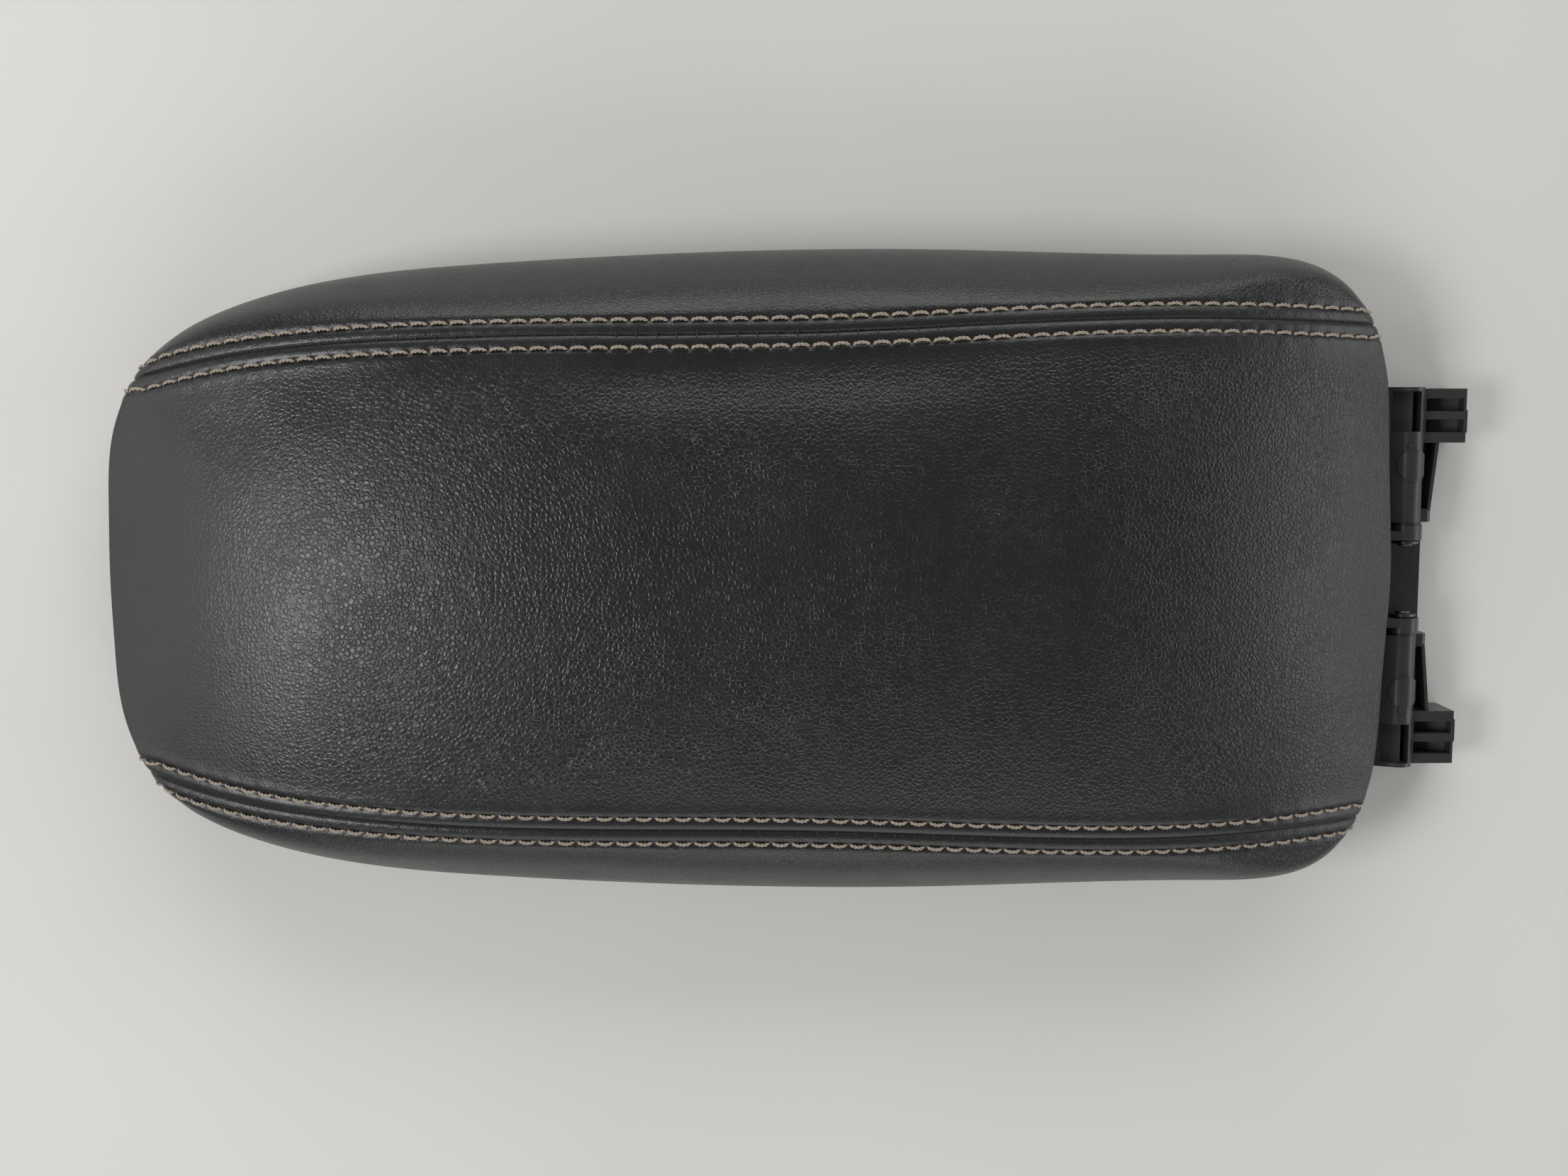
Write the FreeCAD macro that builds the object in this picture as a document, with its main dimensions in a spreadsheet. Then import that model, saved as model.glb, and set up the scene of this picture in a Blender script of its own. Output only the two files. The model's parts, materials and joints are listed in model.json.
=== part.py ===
"""Armrest lid of a centre console: a padded, sewn lid on a two-barrel hinge, with a sprung latch.

Millimetres. +X points to the hinge end, +Z up, Y = 0 is the plane of symmetry. The origin is the middle
of the bounding box at its bottom, where the bumpers and the hinge bracket stand on a flat surface.
"""
import FreeCAD, Part
import math
import os
import Sketcher
from FreeCAD import Placement, Rotation, Vector

doc = FreeCAD.newDocument("armrest_lid")

SIZES = {
    # padded lid: plan, belt line (widest level) and crown
    "lid_front": -186.1,
    "lid_rear": 162.9,
    "lid_half_width": 87.1,
    "belt_z": 19.0,
    "skirt_z": 2.5,
    "skirt_tuck": 3.0,
    "crown_rise": 36.0,
    "crown_end": 3.0,
    "crown_peak": -24.1,
    "crown_front_power": 2.7,
    "crown_rear_power": 4.2,
    "crown_side_drop": 9.0,
    "seam_half_span": 68.5,
    "stitch_offset": 3.7,
    "thread_width": 1.0,
    "thread_height": 0.6,
    "skin_thick": 1.4,
    "foam_side": 3.6,
    "foam_top": 8.6,
    "core_thick": 2.5,
    "part_gap": 0.1,
    # core, liner and their fasteners
    "rib_thick": 2.0,
    "rib_first": -126.1,
    "rib_pitch": 50.0,
    "rib_side": 30.0,
    "latch_rib_inset": 8.0,
    "spigot_radius": 2.0,
    "spigot_length": 6.0,
    "liner_low": 4.0,
    "liner_thick": 2.5,
    "liner_inset": 12.5,
    "liner_bite": 3.5,
    "notch_front": 125.9,
    "notch_half": 56.2,
    "notch_top": 18.2,
    "boss_radius": 4.0,
    "screw_radius": 1.5,
    "screw_head_radius": 3.0,
    "screw_head": 1.6,
    "screw_length": 10.0,
    "liner_screw_rear": 90.9,
    "liner_screw_pitch": 85.0,
    "liner_screw_side": 46.0,
    "bumper_radius": 5.0,
    "bumper_front": -122.1,
    "bumper_rear": 107.9,
    "bumper_side": 58.0,
    "bumper_stem": 1.6,
    "bumper_barb": 7.6,
    # hinge
    "hinge_shift": -2.4,
    "axis_x": 169.3,
    "axis_z": 13.6,
    "barrel_radius": 3.9,
    "barrel_inner": 15.7,
    "barrel_outer": 53.0,
    "housing_front": 159.3,
    "flank_z": 13.2,
    "flank_top_x": 167.65,
    "flank_top_z": 17.13,
    "flange_inner": 15.7,
    "flange_outer": 19.3,
    "flange_rear": 176.6,
    "flange_z": 13.4,
    "flange_chamfer": 1.2,
    "bay_inner": 40.8,
    "bay_outer": 51.9,
    "bay_front": 163.9,
    "bay_depth": 1.8,
    "bay_lip": 0.6,
    "bay_crest": 2.2,
    "slot_front": 169.4,
    "slot_rear": 171.2,
    "slot_floor": 9.0,
    "block_rear": 185.1,
    "block_gap": 2.0,
    "block_inner": 37.7,
    "block_outer": 52.6,
    "block_z": 13.6,
    "pocket_front": 173.9,
    "pocket_rear": 184.4,
    "pocket_floor": 5.0,
    "pocket_fall": 4.0,
    "pocket_one": 40.6,
    "pocket_two": 46.4,
    "pocket_width": 3.5,
    "tab_rear": 186.1,
    "tab_inner": 40.4,
    "tab_outer": 46.7,
    "tab_low": 1.0,
    "tab_high": 12.0,
    "web_floor": 8.0,
    "web_wall": 0.9,
    "web_wall_inner": 176.2,
    "web_wall_outer": 178.1,
    "web_wall_z": 13.2,
    "panel_rear": 175.5,
    "panel_z": 8.6,
    "base_front": 127.4,
    "base_thick": 4.0,
    "plate_rear": 163.3,
    "mount_front": 132.9,
    "mount_rear": 146.9,
    "mount_side": 32.0,
    "mount_radius": 2.75,
    "disc_y": 31.6,
    "disc_radius": 4.4,
    "disc_lift": 0.45,
    "disc_skirt": 1.2,
    "crest_shift": 0.4,
    "knob_length": 1.6,
    "knob_side": 2.2,
    "knob_rise": 0.35,
    "pin_radius": 2.0,
    "pin_inner": 9.1,
    "pin_outer": 39.0,
    "pin_groove": 0.5,
    "pin_chamfer": 0.4,
    "bush_radius": 3.0,
    "running_gap": 0.04,
    "reach": 60.0,
    "eye_radius": 4.4,
    "arm_inner": 10.9,
    "arm_outer": 15.0,
    "washer_inner": 15.1,
    "washer_outer": 15.6,
    "arm_front": 128.4,
    "foot_rear": 151.9,
    "foot_inner": 5.0,
    "foot_outer": 19.0,
    "foot_thick": 3.0,
    "arm_screw_front": 132.9,
    "arm_screw_rear": 142.9,
    "arm_screw_radius": 1.5,
    "arm_screw_length": 5.0,
    "arm_screw_head": 1.8,
    "arm_web_start": 4.0,
    "arm_web_side": 1.6,
    "clip_radius": 3.6,
    "clip_low": 9.8,
    "clip_thick": 0.7,
    "clip_mouth": 1.1,
    # latch
    "latch_axis_x": -152.1,
    "latch_axis_z": 9.5,
    "latch_pin_radius": 1.5,
    "latch_boss_radius": 3.4,
    "latch_half": 17.0,
    "latch_front": -172.1,
    "latch_rear": -134.1,
    "latch_wall": 2.0,
    "latch_top": 16.2,
    "latch_low": 3.0,
    "paddle_front": -170.6,
    "paddle_low": 3.6,
    "paddle_thick": 2.2,
    "paddle_half": 16.4,
    "paddle_rise": 1.4,
    "grip_length": 11.0,
    "lever_play": 0.5,
    "hook_half": 6.0,
    "hook_low": 1.8,
    "hook_rear": -142.6,
    "hook_nose": 2.6,
    "hook_thick": 2.4,
    "hook_web": 3.0,
    "spring_wire": 0.9,
    "spring_inner": 9.0,
    "spring_coils": 4.0,
    "spring_pitch": 1.4,
}

# The plan of the lid, as fractions of its length and of its half width, from the front middle round one
# side to the rear middle.
PLAN = [
    (0.0, 0.0), (0.0013, 0.21), (0.0063, 0.425), (0.0387, 0.673), (0.112, 0.840), (0.292, 0.955),
    (0.636, 1.0), (0.851, 0.985), (0.951, 0.914), (0.983, 0.74), (0.996, 0.344), (1.0, 0.0),
]
# The sewn seam beside the centre panel: fraction of the lid's length, fraction of the seam's widest span.
SEAM = [(-0.02, 0.70), (0.072, 0.825), (0.215, 0.912), (0.55, 0.948), (0.83, 1.0), (1.02, 0.972)]
# Longer than the lid, for cutting tools that reach past it.
BEYOND = 300.0
# How many ribs run across the core.
CROSS_RIBS = 5
# Levels of the padded form: height as a fraction of the crown's rise above the belt, and inset there.
LEVELS = [(0.0, 0.0), (0.40, 5.0), (0.80, 16.5), (1.15, 31.0)]


def make_sheet():
    sheet = doc.addObject("Spreadsheet::Sheet", "Sizes")
    for row, (alias, number) in enumerate(SIZES.items(), start=1):
        sheet.set(f"A{row}", alias)
        sheet.set(f"B{row}", str(number))
        sheet.setAlias(f"B{row}", alias)
    doc.recompute()
    return sheet


sheet = make_sheet()


def size(alias):
    """The sheet's own value of a driving dimension."""
    return float(getattr(sheet, alias))


def cells(text):
    """An expression whose bare aliases point at the sheet."""
    words = str(text).replace("(", " ( ").replace(")", " ) ").split()
    return " ".join("Sizes." + word if word in SIZES else word for word in words)


def number(text):
    """The present value of an expression, as a plain number."""
    return float(getattr(sheet.evalExpression(cells(text)), "Value", sheet.evalExpression(cells(text))))


def bind(item, prop, text):
    item.setExpression(prop, cells(text))


# ---------------------------------------------------------------- building blocks


def box(name, x, y, z):
    """A Part::Box between (low, high) expressions along each axis."""
    item = doc.addObject("Part::Box", name)
    for prop, key, (low, high) in (("Length", "x", x), ("Width", "y", y), ("Height", "z", z)):
        bind(item, prop, f"( {high} ) - ( {low} )")
        bind(item, "Placement.Base." + key, low)
    return item


def cylinder(name, radius, centre, low, high, axis="y"):
    """A Part::Cylinder along an axis between two expressions; centre is its place in the other two."""
    item = doc.addObject("Part::Cylinder", name)
    turns = {"x": (Vector(0, 1, 0), 90), "y": (Vector(1, 0, 0), -90), "z": (Vector(0, 0, 1), 0)}
    item.Placement = Placement(Vector(), Rotation(*turns[axis]))
    bind(item, "Radius", radius)
    bind(item, "Height", f"( {high} ) - ( {low} )")
    others = [key for key in "xyz" if key != axis]
    bind(item, "Placement.Base." + axis, low)
    for key, text in zip(others, centre):
        bind(item, "Placement.Base." + key, text)
    return item


def fuse(name, items):
    item = doc.addObject("Part::MultiFuse", name)
    item.Shapes = items
    return item


def cut(name, base, tools):
    item = doc.addObject("Part::Cut", name)
    item.Base = base
    item.Tool = tools[0] if len(tools) == 1 else fuse(name + "_tools", tools)
    return item


def common(name, items):
    item = doc.addObject("Part::MultiCommon", name)
    item.Shapes = items
    return item


def mirrored(name, source):
    """The same piece on the other side of the plane of symmetry."""
    item = doc.addObject("Part::Mirroring", name)
    item.Source = source
    item.Normal = Vector(0, 1, 0)
    return item


def feature(name, shape):
    item = doc.addObject("Part::Feature", name)
    item.Shape = shape
    item.Placement = Placement()
    return item


def copies(name, source, places):
    """Identical separate solids in one sub-part."""
    doc.recompute()
    return feature(name, Part.makeCompound([source.Shape.translated(place) for place in places]))


def new_body(name):
    return doc.addObject("PartDesign::Body", name)


def new_sketch(body, role, offset):
    """A sketch on one of the body's origin planes, moved along that plane's normal."""
    sketch = body.newObject("Sketcher::SketchObject", body.Name + "_sketch")
    plane = [item for item in body.Origin.OriginFeatures if item.Role == role][0]
    sketch.AttachmentSupport = (plane, [""])
    sketch.MapMode = "FlatFace"
    bind(sketch, "AttachmentOffset.Base.z", offset)
    return sketch


def place_point(sketch, geometry, point, x, y):
    """Hold a point of a sketch at two expressions from the sketch's origin."""
    for kind, text in (("DistanceX", x), ("DistanceY", y)):
        index = sketch.addConstraint(Sketcher.Constraint(kind, -1, 1, geometry, point, number(text)))
        bind(sketch, f"Constraints[{index}]", text)


def draw_polygon(sketch, corners):
    points = [Vector(number(x), number(y), 0) for x, y in corners]
    count = len(points)
    for index in range(count):
        sketch.addGeometry(Part.LineSegment(points[index], points[(index + 1) % count]))
    for index in range(count):
        sketch.addConstraint(Sketcher.Constraint("Coincident", index, 2, (index + 1) % count, 1))
    for index, (x, y) in enumerate(corners):
        place_point(sketch, index, 1, x, y)


def draw_circle(sketch, x, y, radius):
    geometry = sketch.addGeometry(
        Part.Circle(Vector(number(x), number(y), 0), Vector(0, 0, 1), number(radius)))
    index = sketch.addConstraint(Sketcher.Constraint("Radius", geometry, number(radius)))
    bind(sketch, f"Constraints[{index}]", radius)
    place_point(sketch, geometry, 3, x, y)


def pad(body, sketch, length, backwards=False):
    item = body.newObject("PartDesign::Pad", body.Name + "_pad")
    item.Profile = sketch
    item.Reversed = backwards
    bind(item, "Length", length)
    return item


def pocket(body, sketch, length, backwards=False):
    """A pocket that has to remove material."""
    doc.recompute()
    before = body.Shape.Volume
    item = body.newObject("PartDesign::Pocket", body.Name + "_pocket")
    item.Profile = sketch
    item.Reversed = backwards
    bind(item, "Length", length)
    doc.recompute()
    if body.Shape.Volume > before - 0.01:
        raise RuntimeError(f"{body.Name}: a pocket removes nothing")
    return item


def plate_y(name, corners, low, high):
    """A body whose XZ outline is padded from one Y to another."""
    body = new_body(name)
    sketch = new_sketch(body, "XZ_Plane", f"0 - ( {low} )")
    draw_polygon(sketch, corners)
    pad(body, sketch, f"( {high} ) - ( {low} )", backwards=True)
    return body


def turned(name, corners, axis_x="0", axis_y="0"):
    """A turned body about a vertical axis: corners are (radius, height) expressions."""
    body = new_body(name)
    sketch = new_sketch(body, "XZ_Plane", "0")
    draw_polygon(sketch, corners)
    item = body.newObject("PartDesign::Revolution", name + "_turn")
    item.Profile = sketch
    item.ReferenceAxis = (sketch, ["V_Axis"])
    item.Angle = 360
    bind(body, "Placement.Base.x", axis_x)
    bind(body, "Placement.Base.y", axis_y)
    return body


def tube_y(name, outer, inner, low, high, centre):
    """A round tube along Y."""
    body = new_body(name)
    sketch = new_sketch(body, "XZ_Plane", f"0 - ( {low} )")
    draw_circle(sketch, centre[0], centre[1], outer)
    if inner:
        draw_circle(sketch, centre[0], centre[1], inner)
    pad(body, sketch, f"( {high} ) - ( {low} )", backwards=True)
    return body


def ease(body, radius, chosen):
    """Round the edges of a body that the test picks."""
    doc.recompute()
    tip = body.Tip
    names = [f"Edge{index}" for index, edge in enumerate(tip.Shape.Edges, start=1) if chosen(edge)]
    item = body.newObject("PartDesign::Fillet", body.Name + "_fillet")
    item.Base = (tip, names)
    item.Radius = radius
    doc.recompute()
    return item


# ---------------------------------------------------------------- the padded form


def crown_height(x):
    """Height of the lid's middle line above the belt."""
    peak = size("crown_peak")
    if x < peak:
        share, power = (peak - x) / (peak - size("lid_front")), size("crown_front_power")
    else:
        share, power = (x - peak) / (size("lid_rear") - peak), size("crown_rear_power")
    return size("crown_end") + size("crown_rise") * (1.0 - min(share, 1.0) ** power)


def closed_plan(inset, z):
    """The plan outline at one level, drawn in by an inset all round, as a wire."""
    middle = 0.5 * (size("lid_front") + size("lid_rear"))
    half_length = 0.5 * (size("lid_rear") - size("lid_front")) - inset
    half_width = size("lid_half_width") - inset
    side = [(middle + (2.0 * along - 1.0) * half_length, across * half_width) for along, across in PLAN]
    ring = [Vector(x, y, z) for x, y in side]
    ring += [Vector(x, -y, z) for x, y in side[-2:0:-1]]
    curve = Part.BSplineCurve()
    curve.interpolate(ring, PeriodicFlag=True)
    return Part.Wire(curve.toShape())


def crown_cutter(drop):
    """Everything under the double-curved crown, lowered by a drop."""
    steps = 14
    margin = 6.0
    length = size("lid_rear") - size("lid_front")
    grid = []
    for i in range(steps + 1):
        x = size("lid_front") + length * 0.5 * (1.0 - math.cos(math.pi * i / steps))
        row = []
        for j in range(-4, 5):
            y = j / 4.0 * (size("lid_half_width") + margin)
            fall = size("crown_side_drop") * (y / size("seam_half_span")) ** 2
            row.append(Vector(x, y, size("belt_z") + crown_height(x) - fall - drop))
        grid.append(row)
    first = [point - Vector(margin, 0, margin) for point in grid[0]]
    last = [point + Vector(margin, 0, -margin) for point in grid[-1]]
    surface = Part.BSplineSurface()
    surface.interpolate([first] + grid + [last])
    return surface.toShape().extrude(Vector(0, 0, -BEYOND))


def padded_form(side, drop, low):
    """The lid's outer form drawn in by a side inset and a drop of the crown, from a height up."""
    wires = [closed_plan(size("skirt_tuck") + side, low)]
    for share, inset in LEVELS:
        wires.append(closed_plan(inset + side, size("belt_z") + share * size("crown_rise")))
    return Part.makeLoft(wires, True, False).common(crown_cutter(drop))


def seam_line(shift):
    """Points (x, y) of the line that lies a shift outside the sewn seam."""
    length = size("lid_rear") - size("lid_front")
    return [(size("lid_front") + along * length, across * size("seam_half_span") + shift)
            for along, across in SEAM]


def upright(points_out, points_back):
    """A tall prism between two seam-like lines."""
    out = Part.BSplineCurve()
    out.interpolate([Vector(x, y, -BEYOND) for x, y in points_out])
    back = Part.BSplineCurve()
    back.interpolate([Vector(x, y, -BEYOND) for x, y in points_back])
    ends = [
        Part.LineSegment(out.StartPoint, back.StartPoint).toShape(),
        Part.LineSegment(out.EndPoint, back.EndPoint).toShape(),
    ]
    wire = Part.Wire(Part.__sortEdges__([out.toShape(), back.toShape()] + ends))
    return Part.Face(wire).extrude(Vector(0, 0, 2 * BEYOND))


def reflected(shape):
    return shape.mirror(Vector(0, 0, 0), Vector(0, 1, 0))


def block(x_low, x_high, half_y, z_low, z_high):
    """A plain block, centred across the lid."""
    return Part.makeBox(x_high - x_low, 2 * half_y, z_high - z_low, Vector(x_low, -half_y, z_low))


def below(z):
    """Everything under one level."""
    return block(-BEYOND, BEYOND, BEYOND, -BEYOND, z)


def ahead_of(x):
    """Everything to the front of one position."""
    return block(-BEYOND, x, BEYOND, -BEYOND, BEYOND)


def hinge_notch():
    """The room for the hinge, cut out of the underside of the lid's rear end."""
    return block(size("notch_front"), BEYOND, size("notch_half"), -BEYOND, size("notch_top"))


SKIN = size("skin_thick")
INTERIOR_REAR = size("notch_front") - size("core_thick")
FOAM_IN = (SKIN + size("foam_side"), SKIN + size("foam_top"))
CORE_IN = (FOAM_IN[0] + size("core_thick"), FOAM_IN[1] + size("core_thick"))


def make_cover():
    """The sewn cover: a centre panel, two side panels and four rows of topstitching."""
    outer = padded_form(0, 0, size("skirt_z"))
    inner = padded_form(SKIN, SKIN, size("skirt_z"))
    shell = outer.cut(inner).cut(hinge_notch())
    line = seam_line(0)
    middle = upright(line, [(x, -y) for x, y in line])
    side = upright(line, [(x, BEYOND) for x, y in line])
    parts = [
        feature("skin_center_panel", shell.common(middle)),
        feature("skin_side_left", shell.common(side)),
        feature("skin_side_right", shell.common(reflected(side))),
    ]
    raised = padded_form(-size("thread_height"), -size("thread_height"), size("belt_z")).cut(outer)
    half = 0.5 * size("thread_width")
    for place, shift in (("outer", size("stitch_offset")), ("inner", -size("stitch_offset"))):
        strip = raised.common(upright(seam_line(shift - half), seam_line(shift + half)))
        parts.append(feature(f"topstitch_{place}_left", strip))
        parts.append(feature(f"topstitch_{place}_right", reflected(strip)))
    return parts


def make_foam():
    """The soft pad, on top of the moulded core and down its sides to the lower frame."""
    gap = size("part_gap")
    outside = padded_form(SKIN + gap, SKIN + gap, size("skirt_z")).cut(below(size("notch_top")))
    inside = padded_form(FOAM_IN[0], FOAM_IN[1], size("skirt_z") - 1)
    return feature("foam_pad", outside.cut(inside))


# ---------------------------------------------------------------- core and liner


def liner_screw_places():
    """Two rows of three screws."""
    rear, pitch, side = size("liner_screw_rear"), size("liner_screw_pitch"), size("liner_screw_side")
    return [Vector(rear - pitch * step, y, 0) for step in range(3) for y in (-side, side)]


def bumper_places():
    side = size("bumper_side")
    return [Vector(x, y, 0) for x in (size("bumper_front"), size("bumper_rear")) for y in (-side, side)]


def arm_screw_places(sign):
    middle = sign * 0.5 * (size("foot_inner") + size("foot_outer")) + size("hinge_shift")
    return [Vector(x, middle, 0) for x in (size("arm_screw_front"), size("arm_screw_rear"))]


def core_cavity():
    """The hollow inside the core and the frame, which ends ahead of the hinge."""
    return padded_form(CORE_IN[0], CORE_IN[1], size("skirt_z") - 1).common(ahead_of(INTERIOR_REAR))


def make_core():
    """The moulded substrate: a crowned shell with a solid hinge end, ribs and bosses, above the frame."""
    gap = size("part_gap")
    low = size("notch_top")
    cavity = core_cavity()
    shell = padded_form(FOAM_IN[0] + gap, FOAM_IN[1] + gap, size("skirt_z")).cut(cavity)
    half = size("rib_thick") / 2
    across = [size("rib_first") + size("rib_pitch") * step for step in range(CROSS_RIBS)]
    net = [block(x - half, x + half, BEYOND, low, BEYOND) for x in across]
    for x in (size("latch_front") + size("latch_rib_inset"), size("latch_rear") - size("latch_rib_inset")):
        net.append(block(x - half, x + half, size("latch_half"), size("latch_top") + gap, BEYOND))
    for side in (-size("rib_side"), size("rib_side")):
        net.append(block(-BEYOND, BEYOND, half, low, BEYOND).translated(Vector(0, side, 0)))
    net += [Part.makeCylinder(size("boss_radius"), BEYOND, place + Vector(0, 0, low))
            for place in liner_screw_places()]
    core = shell.cut(below(low)).fuse(net[0].multiFuse(net[1:]).common(cavity))
    holes = [Part.makeCylinder(size("spigot_radius") + size("running_gap"), size("spigot_length") + 1, place)
             for place in liner_screw_places()]
    holes += [Part.makeCylinder(size("arm_screw_radius"), size("arm_screw_length"), place)
              for sign in (-1, 1) for place in arm_screw_places(sign)]
    for hole in holes:
        core = core.cut(hole.translated(Vector(0, 0, low)))
    return feature("lid_core", core)


def make_frame():
    """The moulded frame under the core: a rim that the cover is drawn round, with two hinge-end blocks."""
    gap = size("part_gap")
    rim = padded_form(SKIN + gap, SKIN + gap, size("skirt_z")).common(below(size("notch_top") - gap))
    return feature("lid_frame", rim.cut(core_cavity()).cut(hinge_notch()))


def make_standoffs():
    """Posts that carry the liner: each has a spigot up into the core and takes a screw from below."""
    low = "liner_low + liner_thick + part_gap"
    top = "notch_top - part_gap"
    post = turned("standoff", [
        ("screw_radius", low), ("boss_radius", low), ("boss_radius", top), ("spigot_radius", top),
        ("spigot_radius", "notch_top + spigot_length"), ("0", "notch_top + spigot_length"),
        ("0", "screw_length + 0.5"), ("screw_radius", "screw_length + 0.5")])
    return copies("liner_standoffs", post, liner_screw_places())


def latch_room():
    """The room that the latch housing takes in the liner."""
    gap = 4 * size("part_gap")
    half = size("latch_half") + size("latch_wall") + gap
    return block(size("latch_front") - gap, size("latch_rear") + gap, half, -BEYOND, size("latch_top") + gap)


def make_liner():
    """The flat panel that closes the underside of the core."""
    outline = closed_plan(size("liner_inset"), size("liner_low"))
    plate = Part.Face(outline).extrude(Vector(0, 0, size("liner_thick")))
    plate = plate.common(ahead_of(INTERIOR_REAR - size("part_gap"))).cut(latch_room())
    holes = [(place, size("screw_radius") + size("running_gap")) for place in liner_screw_places()]
    holes += [(place, size("bumper_stem")) for place in bumper_places()]
    for place, radius in holes:
        plate = plate.cut(Part.makeCylinder(radius, BEYOND, place))
    return feature("lid_liner", plate)


def screw_body(name, shank_radius, head_radius, head_thick, low, length):
    """A pan-head screw standing on its head at a height, with a cross recess."""
    top = f"( {low} ) + ( {head_thick} )"
    body = turned(name, [
        ("0", low), (head_radius, f"( {low} ) + 0.3"), (head_radius, top), (shank_radius, top),
        (shank_radius, f"( {top} ) + ( {length} ) - 1"), ("0", f"( {top} ) + ( {length} )")])
    for flip in (False, True):
        sketch = new_sketch(body, "XY_Plane", low)
        long, short = f"( {head_radius} ) * 0.6", f"( {head_radius} ) * 0.12"
        reach, half = (short, long) if flip else (long, short)
        draw_polygon(sketch, [
            (f"0 - {reach}", f"0 - {half}"), (reach, f"0 - {half}"), (reach, half), (f"0 - {reach}", half)])
        pocket(body, sketch, f"( {head_thick} ) * 0.7", backwards=True)
    return body


def make_fasteners():
    liner_screw = screw_body("liner_screw", "screw_radius", "screw_head_radius", "screw_head",
                             "liner_low - screw_head", "liner_thick + liner_bite")
    arm_screw = screw_body("arm_screw", "arm_screw_radius", "screw_head_radius * 0.9", "arm_screw_head",
                           "notch_top - foot_thick - arm_screw_head", "foot_thick + arm_screw_length")
    bumper = turned("bumper", [
        ("0", "0"), ("bumper_radius - 1", "0"), ("bumper_radius", "1"), ("bumper_radius", "liner_low"),
        ("bumper_stem", "liner_low"), ("bumper_stem", "bumper_barb"), ("0", "bumper_barb")])
    arm_places = arm_screw_places(-1) + arm_screw_places(1)
    return [
        copies("liner_screws", liner_screw, liner_screw_places()),
        copies("hinge_arm_screws", arm_screw, arm_places),
        copies("rubber_bumpers", bumper, bumper_places()),
    ]


# ---------------------------------------------------------------- hinge


def housing_half():
    """One barrel housing of the hinge bracket, on the +Y side, as a solid and what is cut from it."""
    axis = ("axis_x", "axis_z")
    rear = "axis_x + barrel_radius"
    barrel = cylinder("barrel", "barrel_radius", axis, "barrel_inner", "barrel_outer")
    flank = plate_y("flank", [
        ("housing_front", "0"), (rear, "0"), (rear, "axis_z"),
        ("flank_top_x", "flank_top_z"), ("housing_front", "flank_z")], "barrel_inner", "barrel_outer")
    flange = plate_y("flange", [
        ("axis_x", "0"), ("flange_rear", "0"), ("flange_rear", "flange_z - flange_chamfer"),
        ("flange_rear - flange_chamfer", "flange_z"), ("axis_x", "flange_z")], "flange_inner", "flange_outer")
    block = box("mount_block", ("axis_x + block_gap", "block_rear"), ("block_inner", "block_outer"),
                ("0", "block_z"))
    tab = box("block_tab", ("block_rear", "tab_rear"), ("tab_inner", "tab_outer"), ("tab_low", "tab_high"))
    floor = box("web_plate", ("axis_x", "web_wall_inner"), ("flange_outer", "block_inner"),
                ("0", "web_floor"))
    wall = slanted_wall()
    disc = common("raised_disc", [
        cylinder("disc_post", "disc_radius", ("axis_x + crest_shift", "disc_y"), "0", "reach", axis="z"),
        fuse("disc_cap", [
            cylinder("disc_barrel", "barrel_radius + disc_lift", axis, "flange_outer", "bay_inner"),
            plate_y("disc_flank", [
                ("housing_front", "0"), (rear + " + disc_skirt", "0"),
                (rear + " + disc_skirt", "web_floor + 1.6"),
                (rear, "axis_z"), ("flank_top_x", "flank_top_z + disc_lift"),
                ("housing_front", "flank_z + disc_lift")], "flange_outer", "bay_inner")])])
    knob = box("barrel_knob", ("axis_x - knob_length", "axis_x + crest_shift"),
               ("block_inner - knob_side", "block_inner"), ("axis_z", "axis_z + barrel_radius + knob_rise"))
    solids = [barrel, flank, flange, block, tab, floor, wall, disc, knob]
    bore = cylinder("pin_bore", "pin_radius", axis, "barrel_inner - 1", "pin_outer + crest_shift")
    bay = plate_y("bay", [
        ("bay_front", "flank_z"), ("axis_x - bay_crest", "flank_top_z - bay_depth - bay_lip"),
        ("axis_x + crest_shift", "axis_z + barrel_radius - bay_depth"), ("axis_x + crest_shift", "reach"),
        ("bay_front", "reach")],
        "bay_inner", "bay_outer")
    slot = box("slot", ("slot_front", "slot_rear"), ("bay_inner", "bay_outer"), ("slot_floor", "reach"))
    cuts = [bore, bay, slot]
    for index, start in enumerate(("pocket_one", "pocket_two")):
        cuts.append(plate_y(f"pocket_{index}", [
            ("pocket_front", "pocket_floor"), ("pocket_rear", "block_z - pocket_fall"),
            ("pocket_rear", "reach"), ("pocket_front", "reach")], start, f"{start} + pocket_width"))
    return cut("housing_half", fuse("housing_solids", solids), cuts)


def slanted_wall():
    """The thin wall that runs from the mounting block to the inner flange."""
    body = new_body("slanted_wall")
    sketch = new_sketch(body, "XY_Plane", "0")
    draw_polygon(sketch, [
        ("web_wall_inner", "flange_outer - 0.5"), ("web_wall_outer", "block_inner + 0.5"),
        ("web_wall_outer - web_wall", "block_inner + 0.5"),
        ("web_wall_inner - web_wall", "flange_outer - 0.5")])
    pad(body, sketch, "web_wall_z")
    return body


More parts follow.
